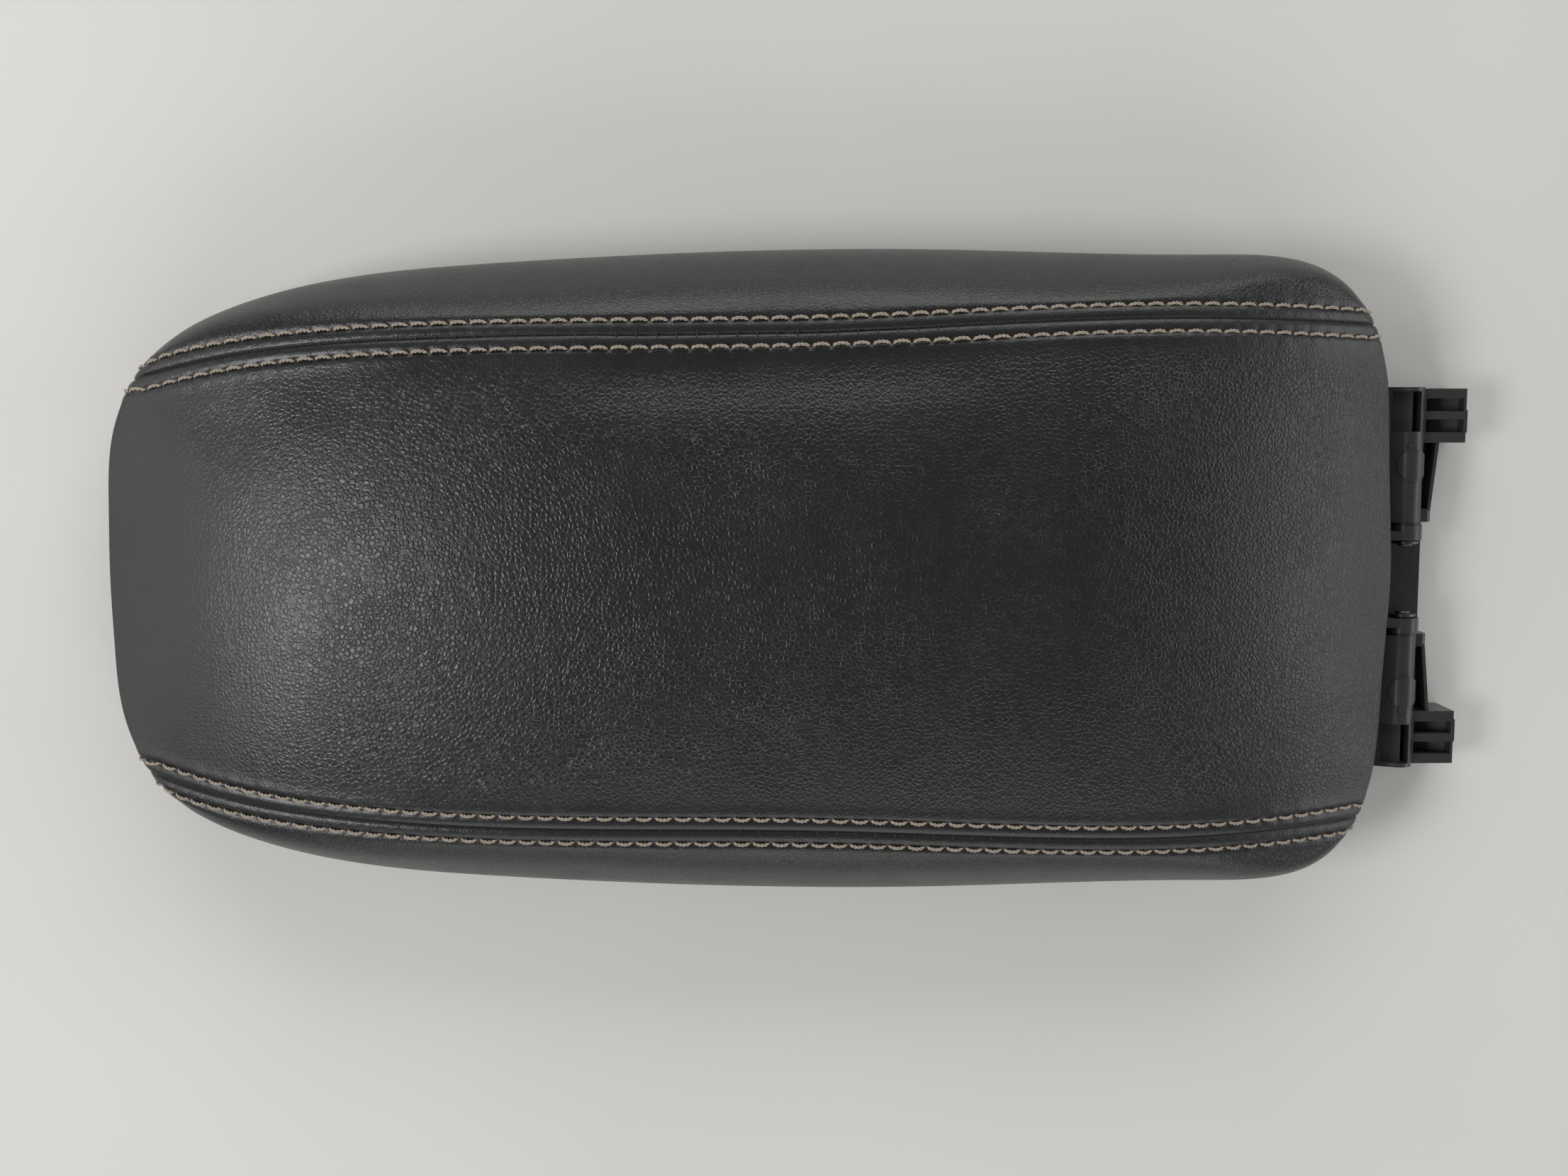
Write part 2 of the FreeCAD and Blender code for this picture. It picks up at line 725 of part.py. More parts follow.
def make_bracket():
    """The console side of the hinge: two moulded barrel housings on a steel plate with four bolt holes."""
    left = housing_half()
    right = mirrored("housing_mirror", left)
    panel = box("middle_panel", ("housing_front", "panel_rear"),
                ("0 - flange_inner - 0.5", "flange_inner + 0.5"), ("0", "panel_z"))
    width = ("0 - barrel_outer", "barrel_outer")
    recess = box("plate_recess", ("0", "plate_rear + part_gap"), ("0 - reach", "reach"),
                 ("0", "base_thick + part_gap"))
    moulding = cut("hinge_bracket", fuse("bracket_solids", [left, right, panel]), [recess])
    moulding.Refine = True
    plate = box("base_plate", ("base_front", "plate_rear"), width, ("0", "base_thick"))
    holes = []
    for x in ("mount_front", "mount_rear"):
        for side in ("0 - mount_side", "0 + mount_side"):
            holes.append(cylinder(f"bolt_hole_{len(holes)}", "mount_radius", (x, side),
                                  "0 - 1", "base_thick + 1", axis="z"))
    return [moulding, cut("hinge_base", plate, holes)]


def hinge_side(side, sign):
    """The pin, bush, washer, arm and retaining clip of one side of the hinge."""
    centre = ("axis_x", "axis_z")

    def span(low, high):
        return (low, high) if sign > 0 else (f"0 - ( {high} )", f"0 - ( {low} )")

    pin = tube_y(f"hinge_pin_{side}", "pin_radius", None, *span("pin_inner", "pin_outer"), centre)
    cut_ring(pin, span("clip_low", "clip_low + clip_thick"), "pin_radius - pin_groove", "pin_radius + 1")
    ease(pin, size("pin_chamfer"), lambda edge: len(edge.Vertexes) == 1 and abs(
        edge.BoundBox.Center.y * sign - size("pin_inner")) < 0.01)
    bush = tube_y(f"hinge_bush_{side}", "bush_radius", "pin_radius + running_gap",
                  *span("arm_inner", "arm_outer"), centre)
    washer = tube_y(f"hinge_washer_{side}", "eye_radius - 0.3", "pin_radius + running_gap",
                    *span("washer_inner", "washer_outer"), centre)
    clip = make_clip(f"pin_clip_{side}", span("clip_low", "clip_low + clip_thick"))
    return [pin, bush, washer, clip, make_arm(side, span)]


def cut_ring(body, span, inner, outer):
    """A groove round a shaft that lies along Y."""
    sketch = new_sketch(body, "XZ_Plane", f"0 - ( {span[0]} )")
    draw_circle(sketch, "axis_x", "axis_z", outer)
    draw_circle(sketch, "axis_x", "axis_z", inner)
    return pocket(body, sketch, f"( {span[1]} ) - ( {span[0]} )")


def make_clip(name, span):
    """An open retaining ring in the pin's groove."""
    body = tube_y(name, "clip_radius", "pin_radius - pin_groove + running_gap", *span, ("axis_x", "axis_z"))
    sketch = new_sketch(body, "XZ_Plane", f"0 - ( {span[0]} )")
    left, right, low = "axis_x - clip_mouth", "axis_x + clip_mouth", "axis_z - clip_radius - 1"
    draw_polygon(sketch, [(left, low), (right, low), (right, "axis_z"), (left, "axis_z")])
    pocket(body, sketch, f"( {span[1]} ) - ( {span[0]} )")
    return body


def make_arm(side, span):
    """The lid's hinge arm: an eye round the bush, a web, and a foot screwed up to the core."""
    name = f"hinge_arm_{side}"
    eye = cylinder(name + "_eye", "eye_radius", ("axis_x", "axis_z"), *span("arm_inner", "arm_outer"))
    web = plate_y(name + "_web", [
        ("arm_front + arm_web_start", "notch_top - foot_thick - arm_web_start"),
        ("axis_x - 1", "axis_z - eye_radius + 0.1"), ("axis_x + 1", "axis_z + eye_radius - 0.3"),
        ("arm_front + arm_web_start", "notch_top - foot_thick + 0.5")],
        *span("arm_inner", "arm_outer - arm_web_side"))
    foot = box(name + "_foot", ("arm_front", "foot_rear"), span("foot_inner", "foot_outer"),
               ("notch_top - foot_thick", "notch_top"))
    cuts = [cylinder(name + "_bore", "bush_radius", ("axis_x", "axis_z"),
                     *span("arm_inner - 1", "arm_outer + 1"))]
    middle = "( foot_inner + foot_outer ) / 2"
    for end in ("front", "rear"):
        y = middle if span("1", "2")[0] == "1" else f"0 - {middle}"
        cuts.append(cylinder(f"{name}_hole_{end}", "arm_screw_radius + running_gap",
                             (f"arm_screw_{end}", y), "0", "reach", axis="z"))
        cuts.append(cylinder(f"{name}_seat_{end}", "screw_head_radius", (f"arm_screw_{end}", y),
                             "0", "notch_top - foot_thick", axis="z"))
    whole = cut(name, fuse(name + "_solids", [eye, web, foot]), cuts)
    whole.Refine = True
    return whole


# ---------------------------------------------------------------- latch


def make_latch():
    """A box under the lid's front end, a sprung lever with a hook, its pin and its spring."""
    axis = ("latch_axis_x", "latch_axis_z")
    outside = box("latch_outside", ("latch_front", "latch_rear"),
                  ("0 - latch_half - latch_wall", "latch_half + latch_wall"), ("latch_low", "latch_top"))
    inside = box("latch_inside", ("latch_front - 1", "latch_rear - latch_wall"),
                 ("0 - latch_half", "latch_half"), ("0", "latch_top - latch_wall"))
    pin_hole = cylinder("latch_pin_hole", "latch_pin_radius", axis, "0 - reach", "reach")
    housing = cut("latch_housing", outside, [inside, pin_hole])
    pin = tube_y("latch_pin", "latch_pin_radius", None,
                 "0 - latch_half - latch_wall", "latch_half + latch_wall", axis)
    lever = make_lever(axis)
    return [housing, pin, lever, make_latch_spring()]


def make_lever(axis):
    """A finger paddle and a hook on one boss that turns on the latch pin."""
    across = ("0 - spring_inner + lever_play", "spring_inner - lever_play")
    boss = cylinder("lever_boss", "latch_boss_radius", axis, *across)
    paddle = plate_y("lever_paddle", [
        ("paddle_front", "paddle_low"), ("latch_axis_x - 1", "paddle_low + paddle_rise"),
        ("latch_axis_x", "latch_axis_z"), ("latch_axis_x - 3", "paddle_low + paddle_thick + 2"),
        ("paddle_front", "paddle_low + paddle_thick")], *across)
    grip = box("lever_grip", ("paddle_front", "paddle_front + grip_length"),
               ("0 - paddle_half", "paddle_half"), ("paddle_low", "paddle_low + paddle_thick"))
    hook = plate_y("lever_hook", [
        ("latch_axis_x", "latch_axis_z + 2"), ("hook_rear - hook_nose", "latch_axis_z + 1.5"),
        ("hook_rear - hook_nose", "hook_low + hook_thick"), ("hook_rear", "hook_low + hook_thick"),
        ("hook_rear - 2", "hook_low"), ("hook_rear - hook_nose - hook_web", "hook_low"),
        ("hook_rear - hook_nose - hook_web", "latch_axis_z - 3"), ("latch_axis_x", "latch_axis_z - 3")],
        "0 - hook_half", "hook_half")
    bore = cylinder("lever_bore", "latch_pin_radius + running_gap", axis, "0 - reach", "reach")
    lever = cut("latch_lever", fuse("lever_solids", [boss, paddle, grip, hook]), [bore])
    lever.Refine = True
    return lever


def make_latch_spring():
    """A return spring of square wire, wound round the latch pin beside the lever's boss."""
    wire = size("spring_wire")
    radius = size("latch_pin_radius") + 1.5 * wire
    helix = Part.makeHelix(size("spring_pitch"), size("spring_pitch") * size("spring_coils"), radius)
    half = wire / 2
    corners = [Vector(radius + x, 0, z) for x, z in
               ((-half, -half), (half, -half), (half, half), (-half, half), (-half, -half))]
    coil = Part.Wire(helix.Edges).makePipeShell([Part.makePolygon(corners)], True, True)
    spring = feature("latch_spring", coil)
    turn = Rotation(Vector(1, 0, 0), -90)
    spring.Placement = Placement(
        Vector(size("latch_axis_x"), size("spring_inner") + wire, size("latch_axis_z")), turn)
    return spring


# ---------------------------------------------------------------- the whole lid


def check_and_write(parts):
    doc.recompute()
    for item in doc.Objects:
        bad = [state for state in item.State if state in ("Invalid", "Error")]
        if bad:
            raise RuntimeError(f"{item.Name}: {item.State}")
    os.makedirs("parts", exist_ok=True)
    box_all = None
    for item in parts:
        item.Label = item.Name
        shape = item.Shape
        if shape.isNull() or not shape.isValid() or shape.Volume <= 0:
            raise RuntimeError(f"{item.Name}: its shape is not sound")
        shape.exportStep(os.path.join("parts", item.Label + ".step"))
        box_all = shape.BoundBox if box_all is None else box_all.united(shape.BoundBox)
        print(f"{item.Label:24s} solids {len(shape.Solids)}  volume {shape.Volume:10.1f}")
    print("whole:", box_all)


def main():
    parts = make_cover()
    parts.append(make_foam())
    parts.append(make_core())
    parts.append(make_frame())
    parts.append(make_standoffs())
    parts.append(make_liner())
    parts += make_fasteners()
    hinge = make_bracket()
    for side, sign in (("left", 1), ("right", -1)):
        hinge += hinge_side(side, sign)
    for item in hinge:
        bind(item, "Placement.Base.y", "hinge_shift")
    parts += hinge
    parts += make_latch()
    check_and_write(parts)


main()
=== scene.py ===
"""Looks of a console armrest lid: a sewn leatherette cover over a crowned pad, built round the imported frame.

Lengths inside the shape functions are millimetres, in the frame's own axes: +X to the hinge, +Z up.
"""
import json
import math

import bmesh
import bpy
import numpy as np
from mathutils import Matrix, Vector
from mathutils.bvhtree import BVHTree
from mathutils.kdtree import KDTree


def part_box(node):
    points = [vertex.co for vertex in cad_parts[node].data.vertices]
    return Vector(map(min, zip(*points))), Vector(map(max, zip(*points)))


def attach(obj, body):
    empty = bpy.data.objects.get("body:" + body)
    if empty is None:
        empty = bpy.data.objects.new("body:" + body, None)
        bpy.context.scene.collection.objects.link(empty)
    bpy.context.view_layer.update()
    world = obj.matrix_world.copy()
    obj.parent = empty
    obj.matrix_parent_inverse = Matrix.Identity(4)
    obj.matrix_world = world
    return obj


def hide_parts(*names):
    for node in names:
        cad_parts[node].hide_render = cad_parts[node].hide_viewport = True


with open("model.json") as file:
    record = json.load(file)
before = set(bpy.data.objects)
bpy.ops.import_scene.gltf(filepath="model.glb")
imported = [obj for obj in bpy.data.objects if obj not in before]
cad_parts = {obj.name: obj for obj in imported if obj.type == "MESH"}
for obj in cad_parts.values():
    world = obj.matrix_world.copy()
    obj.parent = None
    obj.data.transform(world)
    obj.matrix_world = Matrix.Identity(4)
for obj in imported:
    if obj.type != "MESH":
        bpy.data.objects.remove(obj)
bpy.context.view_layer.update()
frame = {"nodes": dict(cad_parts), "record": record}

MM = 0.001

# ---------------------------------------------------------------- driving dimensions, from the frame


def node_box(name):
    low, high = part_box(name)
    return np.array(low) / MM, np.array(high) / MM


CENTRE_LOW, CENTRE_HIGH = node_box("skin_center_panel")
SIDE_HIGH = node_box("skin_side_left")[1]
FRONT_X = CENTRE_LOW[0]
REAR_X = CENTRE_HIGH[0]
LENGTH = REAR_X - FRONT_X
HALF_WIDTH = SIDE_HIGH[1]
SKIRT_Z = CENTRE_LOW[2]
BELT_Z = SKIRT_Z + 16.5          # level of the widest outline
CROWN_TOP = CENTRE_HIGH[2] - BELT_Z
CROWN_END = 3.0                  # what is left of the crown at the two ends
CROWN_PEAK = -24.1               # where along X the crown is highest
CROWN_POWERS = (2.7, 4.2)        # fall of the crown towards the front and the rear
SIDE_SHARE = 0.23                # share of the crown that is lost across to the seam
SEAM_SPAN = 68.5                 # widest half distance between the two seams
SIDE_RISE, SIDE_POWER = 5.85, 0.62   # height of the side panels over the distance from the outline
SHOULDER = 4.5                   # softness of the shoulder between top and side
TUCK = 3.0                       # how far the skirt pulls in below the belt
NOTCH_HALF, NOTCH_Z = 56.2, 18.2     # the hinge's room under the rear edge
ROW = 3.6                        # distance of each stitch row from the seam
PITCH, STITCH = 5.1, 4.4         # step from stitch to stitch, and the length of one

# The plan outline: shares of the length and of the half width, from the front round to the rear.
PLAN = [
    (0.0, 0.0), (0.0013, 0.21), (0.0063, 0.425), (0.0387, 0.673), (0.112, 0.840), (0.292, 0.955),
    (0.636, 1.0), (0.851, 0.985), (0.951, 0.914), (0.983, 0.74), (0.996, 0.344), (1.0, 0.0),
]
# The sewn line in plan: shares of the length and of the seam's widest span.
SEAM = [(-0.02, 0.70), (0.072, 0.825), (0.215, 0.912), (0.55, 0.948), (0.83, 1.0), (1.02, 0.972)]

# ---------------------------------------------------------------- smooth curves


def spline(knots, values, closed=False):
    """A smooth cubic through values at knots, as a function that reads it anywhere."""
    knots, values = np.asarray(knots, float), np.asarray(values, float)
    count = len(knots) - 1
    steps = np.diff(knots)
    rise = np.diff(values) / steps
    matrix = np.zeros((count + 1, count + 1))
    right = np.zeros(count + 1)
    for i in range(1, count):
        matrix[i, i - 1:i + 2] = (steps[i], 2 * (steps[i - 1] + steps[i]), steps[i - 1])
        right[i] = 3 * (steps[i] * rise[i - 1] + steps[i - 1] * rise[i])
    if closed:
        matrix[0, 0] = 1.0
        matrix[0, count] = -1.0
        matrix[count, [count - 1, count, 0, 1]] = (
            steps[0], 2 * steps[0], 2 * steps[count - 1], steps[count - 1])
        right[count] = 3 * (steps[0] * rise[count - 1] + steps[count - 1] * rise[0])
    else:
        matrix[0, :2] = (2.0, 1.0)
        matrix[count, -2:] = (1.0, 2.0)
        right[0], right[count] = 3 * rise[0], 3 * rise[-1]
    slopes = np.linalg.solve(matrix, right)

    def read(at):
        at = np.asarray(at, float)
        index = np.clip(np.searchsorted(knots, at, side="right") - 1, 0, count - 1)
        step = steps[index]
        t = (at - knots[index]) / step
        a, b = values[index], values[index + 1]
        return ((1 + 2 * t) * (1 - t) ** 2 * a + t * t * (3 - 2 * t) * b
                + step * (t * (1 - t) ** 2 * slopes[index] - t * t * (1 - t) * slopes[index + 1]))

    return read


def plan_ring():
    """The plan outline as a dense ring of points, from the front middle round the +Y side."""
    side = [(FRONT_X + along * LENGTH, across * HALF_WIDTH) for along, across in PLAN]
    ring = side + [(x, -y) for x, y in side[-2::-1]]
    xy = np.array(ring)
    knots = np.concatenate([[0], np.cumsum(np.linalg.norm(np.diff(xy, axis=0), axis=1))])
    at = np.linspace(0, knots[-1], 3001)
    return np.stack([spline(knots, xy[:, 0], True)(at), spline(knots, xy[:, 1], True)(at)], axis=1)


RING = plan_ring()
HALF_RING = RING[:1501]
seam_y = spline([FRONT_X + a * LENGTH for a, _ in SEAM], [b * SEAM_SPAN for _, b in SEAM])


def outline_distance(x, y):
    """Distance of plan points to the outline, inside the lid."""
    points = np.stack([np.ravel(x), np.abs(np.ravel(y))], axis=1)
    start = HALF_RING[:-4:4]
    way = HALF_RING[4::4] - start
    best = np.full(len(points), 1e9)
    for chunk in range(0, len(points), 4000):
        part = points[chunk:chunk + 4000, None, :] - start[None]
        t = np.clip((part * way).sum(-1) / (way ** 2).sum(-1), 0, 1)
        gap = part - t[..., None] * way
        best[chunk:chunk + 4000] = np.sqrt((gap ** 2).sum(-1).min(1))
    return best.reshape(np.shape(x))


def top_height(x, y):
    """Height of the padded top over the plan: the crown, met by the rounded sides."""
    share = np.where(x < CROWN_PEAK, (CROWN_PEAK - x) / (CROWN_PEAK - FRONT_X),
                     (x - CROWN_PEAK) / (REAR_X - CROWN_PEAK))
    power = np.where(x < CROWN_PEAK, CROWN_POWERS[0], CROWN_POWERS[1])
    rise = CROWN_END + (CROWN_TOP - CROWN_END) * (1 - np.clip(share, 0, 1) ** power)
    crown = rise * (1 - SIDE_SHARE * (y / SEAM_SPAN) ** 2)
    side = SIDE_RISE * outline_distance(x, y) ** SIDE_POWER
    soft = np.minimum(SHOULDER, 0.4 * crown)
    blend = np.clip(0.5 + 0.5 * (crown - side) / soft, 0, 1)
    mixed = crown + (side - crown) * blend - soft * blend * (1 - blend)
    return BELT_Z + np.maximum(mixed, 0)


# ---------------------------------------------------------------- the cover's panels as point grids

STEPS_ALONG = 420
STEPS_EASED = 40                 # steps over which a line's spacing opens up from each end
RING_WAY = np.gradient(HALF_RING, axis=0)
RING_WAY /= np.linalg.norm(RING_WAY, axis=1)[:, None]
RING_OUT = np.stack([-RING_WAY[:, 1], RING_WAY[:, 0]], axis=1)
RING_SHARE = HALF_RING[:, 1] / seam_y(HALF_RING[:, 0])
WALL = 16                        # steps down the side below the belt
LIP_ROUND = 0.9                  # radius of the bottom edge
LIP_REACH = 9.0                  # how far the cover turns in under the rim
NOTCH_REACH = 1.6                # the same, over the hinge
FRONT_PART, REAR_PART = -120, 130       # where the outline bends round the front and the rear
HINGE_PART = 100                 # the hinge's room can only be behind this
# Distances from the seam that get a line of points of their own, where the leather is worked most.
SEAM_STEPS = [0, .3, .6, .9, 1.3, 1.8, 2.3, 2.8, 3.2, 3.6, 4.0, 4.5, 5.1]
CENTRE_STEPS = SEAM_STEPS + [5.9, 7.0, 8.4]
CENTRE_SPAN, SIDE_SPAN = 66.0, 17.0      # plan widths that those distances are taken over


def ease_in(low, high, value):
    """A smooth rise from 0 at one value to 1 at another, which may lie below it."""
    t = np.clip((value - low) / (high - low), 0, 1)
    return t * t * (3 - 2 * t)


def skirt(point, out):
    """The points below one outline point: down the side, round the bottom edge and in under the rim."""
    in_notch = ease_in(NOTCH_HALF + 0.9, NOTCH_HALF - 0.3, abs(point[1])) * (point[0] > HINGE_PART)
    bottom = (1 - in_notch) * (SKIRT_Z - 0.9) + in_notch * NOTCH_Z
    reach = (1 - in_notch) * LIP_REACH + in_notch * NOTCH_REACH
    radius = min(LIP_ROUND, 0.6 * (BELT_Z - bottom))
    rows = []
    for step in range(1, WALL + 1):
        z = BELT_Z + (bottom + radius - BELT_Z) * step / WALL
        rows.append((TUCK * ((BELT_Z - z) / (BELT_Z - SKIRT_Z)) ** 2, z))
    start = rows[-1][0]
    for step in range(1, 5):
        turn = math.pi / 2 * step / 4
        rows.append((start + radius * (1 - math.cos(turn)), bottom + radius * (1 - math.sin(turn))))
    flat = start + radius
    for share in (0.25, 0.5, 0.75, 1.0):
        rows.append((flat + (reach - flat) * share if reach > flat else flat, bottom))
    rows.append((max(reach, flat), bottom + 0.8))
    return np.array([(point[0] - out[0] * inset, point[1] - out[1] * inset, z) for inset, z in rows])


def ring_at(index):
    """A point of the outline and its outward way, at a fractional index of the half ring."""
    whole = np.arange(len(HALF_RING))
    point = np.array([np.interp(index, whole, HALF_RING[:, k]) for k in (0, 1)])
    out = np.array([np.interp(index, whole, RING_OUT[:, k]) for k in (0, 1)])
    return point, out / np.linalg.norm(out)


def ring_index(share, rear):
    """Where the line at a share of the seam's distance meets the outline, at the front or the rear."""
    if rear:
        found = np.nonzero(HALF_RING[:, 0] > REAR_PART)[0]
        return np.interp(-share, -RING_SHARE[found], found)
    found = np.nonzero(HALF_RING[:, 0] < FRONT_PART)[0]
    return np.interp(share, RING_SHARE[found], found)


def line_spacing():
    """Shares of a line's length for its points, which stand closer together towards both ends."""
    t = np.linspace(0, 1, STEPS_ALONG)
    spread = 0.6 * t + 0.4 * (0.5 - 0.5 * np.cos(math.pi * t))
    edge = 0.5 - 0.5 * np.cos(math.pi * np.clip(t * STEPS_ALONG / STEPS_EASED, 0, 1))
    return spread * edge + (1 - (1 - spread) * edge[::-1]) - spread


def centre_grid():
    """Lines from under the front edge, over the crown, to under the rear edge."""
    half = [1 - e / CENTRE_SPAN for e in CENTRE_STEPS] + list(np.linspace(1 - 9.8 / CENTRE_SPAN, 0, 50))
    shares = np.array(sorted(set([-h for h in half] + half)))
    lines = []
    spread = line_spacing()
    for share in shares:
        mirror = -1.0 if share < 0 else 1.0
        ends = []
        for rear in (False, True):
            point, out = ring_at(ring_index(abs(share), rear))
            ends.append((point, skirt(point, out)))
        x = ends[0][0][0] + (ends[1][0][0] - ends[0][0][0]) * spread
        y = abs(share) * seam_y(x)
        y[0], y[-1] = ends[0][0][1], ends[1][0][1]
        top = np.stack([x, y, top_height(x, y)], axis=1)
        top[0, 2] = top[-1, 2] = BELT_Z
        line = np.concatenate([ends[0][1][::-1], top, ends[1][1]])
        line[:, 1] *= mirror
        lines.append(line)
    return np.array(lines), shares


def side_grid():
    """Slices from the seam, over the side, down the skirt and under the rim."""
    first, last = ring_index(1.0, False), ring_index(1.0, True)
    across = np.array(SEAM_STEPS) / SIDE_SPAN
    rest = np.linspace(across[-1], 1, 26)[1:]
    rounded = np.sin(math.pi / 2 * (rest - across[-1]) / (1 - across[-1]))
    share = np.concatenate([across, across[-1] + (1 - across[-1]) * rounded])
    slices = []
    for index in first + (last - first) * np.linspace(0, 1, STEPS_ALONG):
        point, out = ring_at(index)
        seam = float(seam_y(point[0]))
        width = max(point[1] - seam, 0.0)
        y = seam + width * share
        x = np.full_like(y, point[0])
        top = np.stack([x, y, top_height(x, y)], axis=1)
        top[-1, 2] = BELT_Z
        slices.append(np.concatenate([top, skirt(point, out)]))
    return np.array(slices)


# ---------------------------------------------------------------- seams


def grid_normals(grid):
    """Unit normals of a point grid, facing out of the lid."""
    first = np.gradient(grid, axis=0)
    second = np.gradient(grid, axis=1)
    normals = np.cross(second, first)
    size = np.linalg.norm(normals, axis=-1, keepdims=True)
    normals = normals / np.maximum(size, 1e-9)
    middle = grid[grid.shape[0] // 2, grid.shape[1] // 2]
    inside = np.array([0.0, 0.0, BELT_Z])
    if np.dot(normals[grid.shape[0] // 2, grid.shape[1] // 2], middle - inside) < 0:
        normals = -normals
    return normals


class Seam:
    """The sewn line on the +Y side, read by its length."""

    STEP = 0.2                   # spacing of its points
    SMOOTHED = 7                 # points to each side over which its normals are averaged
    FAR = 99.0                   # distance given to points that are out of reach

    def __init__(self, line, normals):
        gaps = np.linalg.norm(np.diff(line, axis=0), axis=1)
        at = np.concatenate([[0], np.cumsum(gaps)])
        self.length = at[-1]
        self.at = np.arange(0, self.length, self.STEP)
        self.points = np.stack([np.interp(self.at, at, line[:, k]) for k in range(3)], axis=1)
        plain = np.stack([np.interp(self.at, at, normals[:, k]) for k in range(3)], axis=1)
        window = np.ones(2 * self.SMOOTHED + 1) / (2 * self.SMOOTHED + 1)
        padded = np.pad(plain, ((self.SMOOTHED, self.SMOOTHED), (0, 0)), mode="edge")
        smooth = np.stack([np.convolve(padded[:, k], window, "valid") for k in range(3)], axis=1)
        self.out = smooth / np.linalg.norm(smooth, axis=1)[:, None]
        way = np.gradient(self.points, axis=0)
        self.way = way / np.linalg.norm(way, axis=1)[:, None]
        self.tree = KDTree(len(self.points))
        for index, point in enumerate(self.points):
            self.tree.insert(Vector(point), index)
        self.tree.balance()

    def read(self, length):
        """Point, normal and direction at a length along the seam."""
        index = min(max(length / self.STEP, 0), len(self.at) - 1.001)
        low, part = int(index), index - int(index)
        mix = [row[low] * (1 - part) + row[low + 1] * part for row in (self.points, self.out, self.way)]
        return mix[0], mix[1] / np.linalg.norm(mix[1]), mix[2] / np.linalg.norm(mix[2])

    def distances(self, grid, reach):
        """Distance to the seam and length along it, for the points that may be within reach of it."""
        flat = grid.reshape(-1, 3)
        gap = np.full(len(flat), self.FAR)
        along = np.zeros(len(flat))
        near = np.abs(np.abs(flat[:, 1]) - seam_y(flat[:, 0])) < reach + 3
        for index in np.nonzero(near)[0]:
            point = flat[index]
            _, found, distance = self.tree.find(Vector((point[0], abs(point[1]), point[2])))
            gap[index] = distance
            along[index] = self.at[found]
        return gap.reshape(grid.shape[:2]), along.reshape(grid.shape[:2])


def bump_at(value, centre, width):
    return np.exp(-((value - centre) / width) ** 2)


def seam_relief(gap, along):
    """Height of the leather over its plain surface beside the seam: groove, two welts, stitch rows."""
    phase = np.mod(along, PITCH) / PITCH
    hole = np.exp(-(np.minimum(phase, 1 - phase) * PITCH / 0.75) ** 2)
    groove = 0.42 * bump_at(gap, 0, 0.36)
    inner_welt = (0.28 - 0.10 * hole) * bump_at(gap, 1.75, 1.3)
    row = (0.16 + 0.34 * hole) * bump_at(gap, ROW, 0.55)
    outer_welt = 0.20 * bump_at(gap, 5.2, 1.3) * (1 - 0.5 * hole)
    return -groove + inner_welt - row + outer_welt


# ---------------------------------------------------------------- mesh making


def grid_mesh(name, grid, attributes):
    """A smooth mesh from a point grid in millimetres, with named values on its points."""
    rows, columns = grid.shape[:2]
    index = np.arange(rows * columns).reshape(rows, columns)
    corners = [index[:-1, :-1], index[1:, :-1], index[1:, 1:], index[:-1, 1:]]
    quads = np.stack(corners, axis=-1).reshape(-1, 4)
    normals = grid_normals(grid)
    a, b, c = (grid.reshape(-1, 3)[quads[len(quads) // 2][k]] for k in range(3))
    if np.dot(np.cross(b - a, c - a), normals.reshape(-1, 3)[quads[len(quads) // 2][0]]) < 0:
        quads = quads[:, ::-1]
    mesh = bpy.data.meshes.new(name)
    mesh.from_pydata((grid.reshape(-1, 3) * MM).tolist(), [], quads.tolist())
    for key, values in attributes.items():
        layer = mesh.attributes.new(key, "FLOAT", "POINT")
        layer.data.foreach_set("value", np.ravel(values).astype(np.float32))
    mesh.polygons.foreach_set("use_smooth", [True] * len(mesh.polygons))
    mesh.update()
    item = bpy.data.objects.new(name, mesh)
    bpy.context.scene.collection.objects.link(item)
    return item


def tubes_mesh(name, paths, sides):
    """One mesh of many closed round tubes: each path is a list of (centre, radius, normal, across)."""
    points, faces = [], []
    for path in paths:
        start = len(points)
        for centre, radius, normal, across in path:
            for side in range(sides):
                turn = 2 * math.pi * side / sides
                points.append((centre + radius * (math.cos(turn) * normal + math.sin(turn) * across)) * MM)
        for ring in range(len(path) - 1):
            for side in range(sides):
                a = start + ring * sides + side
                b = start + ring * sides + (side + 1) % sides
                faces.append((a, b, b + sides, a + sides))
        faces.append(tuple(start + side for side in range(sides - 1, -1, -1)))
        faces.append(tuple(start + (len(path) - 1) * sides + side for side in range(sides)))
    mesh = bpy.data.meshes.new(name)
    mesh.from_pydata([tuple(point) for point in points], [], faces)
    mesh.polygons.foreach_set("use_smooth", [True] * len(mesh.polygons))
    mesh.update()
    item = bpy.data.objects.new(name, mesh)
    bpy.context.scene.collection.objects.link(item)
    return item


# ---------------------------------------------------------------- threads

FIRST_STITCH = 2                 # steps from the seam's front end to the first stitch
ROW_STOP, TIES_STOP = 14.0, 6.0  # how far before the seam's rear end the rows and the ties stop


def row_frame(seam, surface, length, offset):
    """Surface point, normal and outward way of a stitch row at a length of the seam."""
    point, out, way = seam.read(length)
    across = np.cross(way, out)
    if across[1] < 0:
        across = -across
    hit, _, _, _ = surface.find_nearest(Vector(point + across * offset + out * 0.6))
    return np.array(hit), out, across


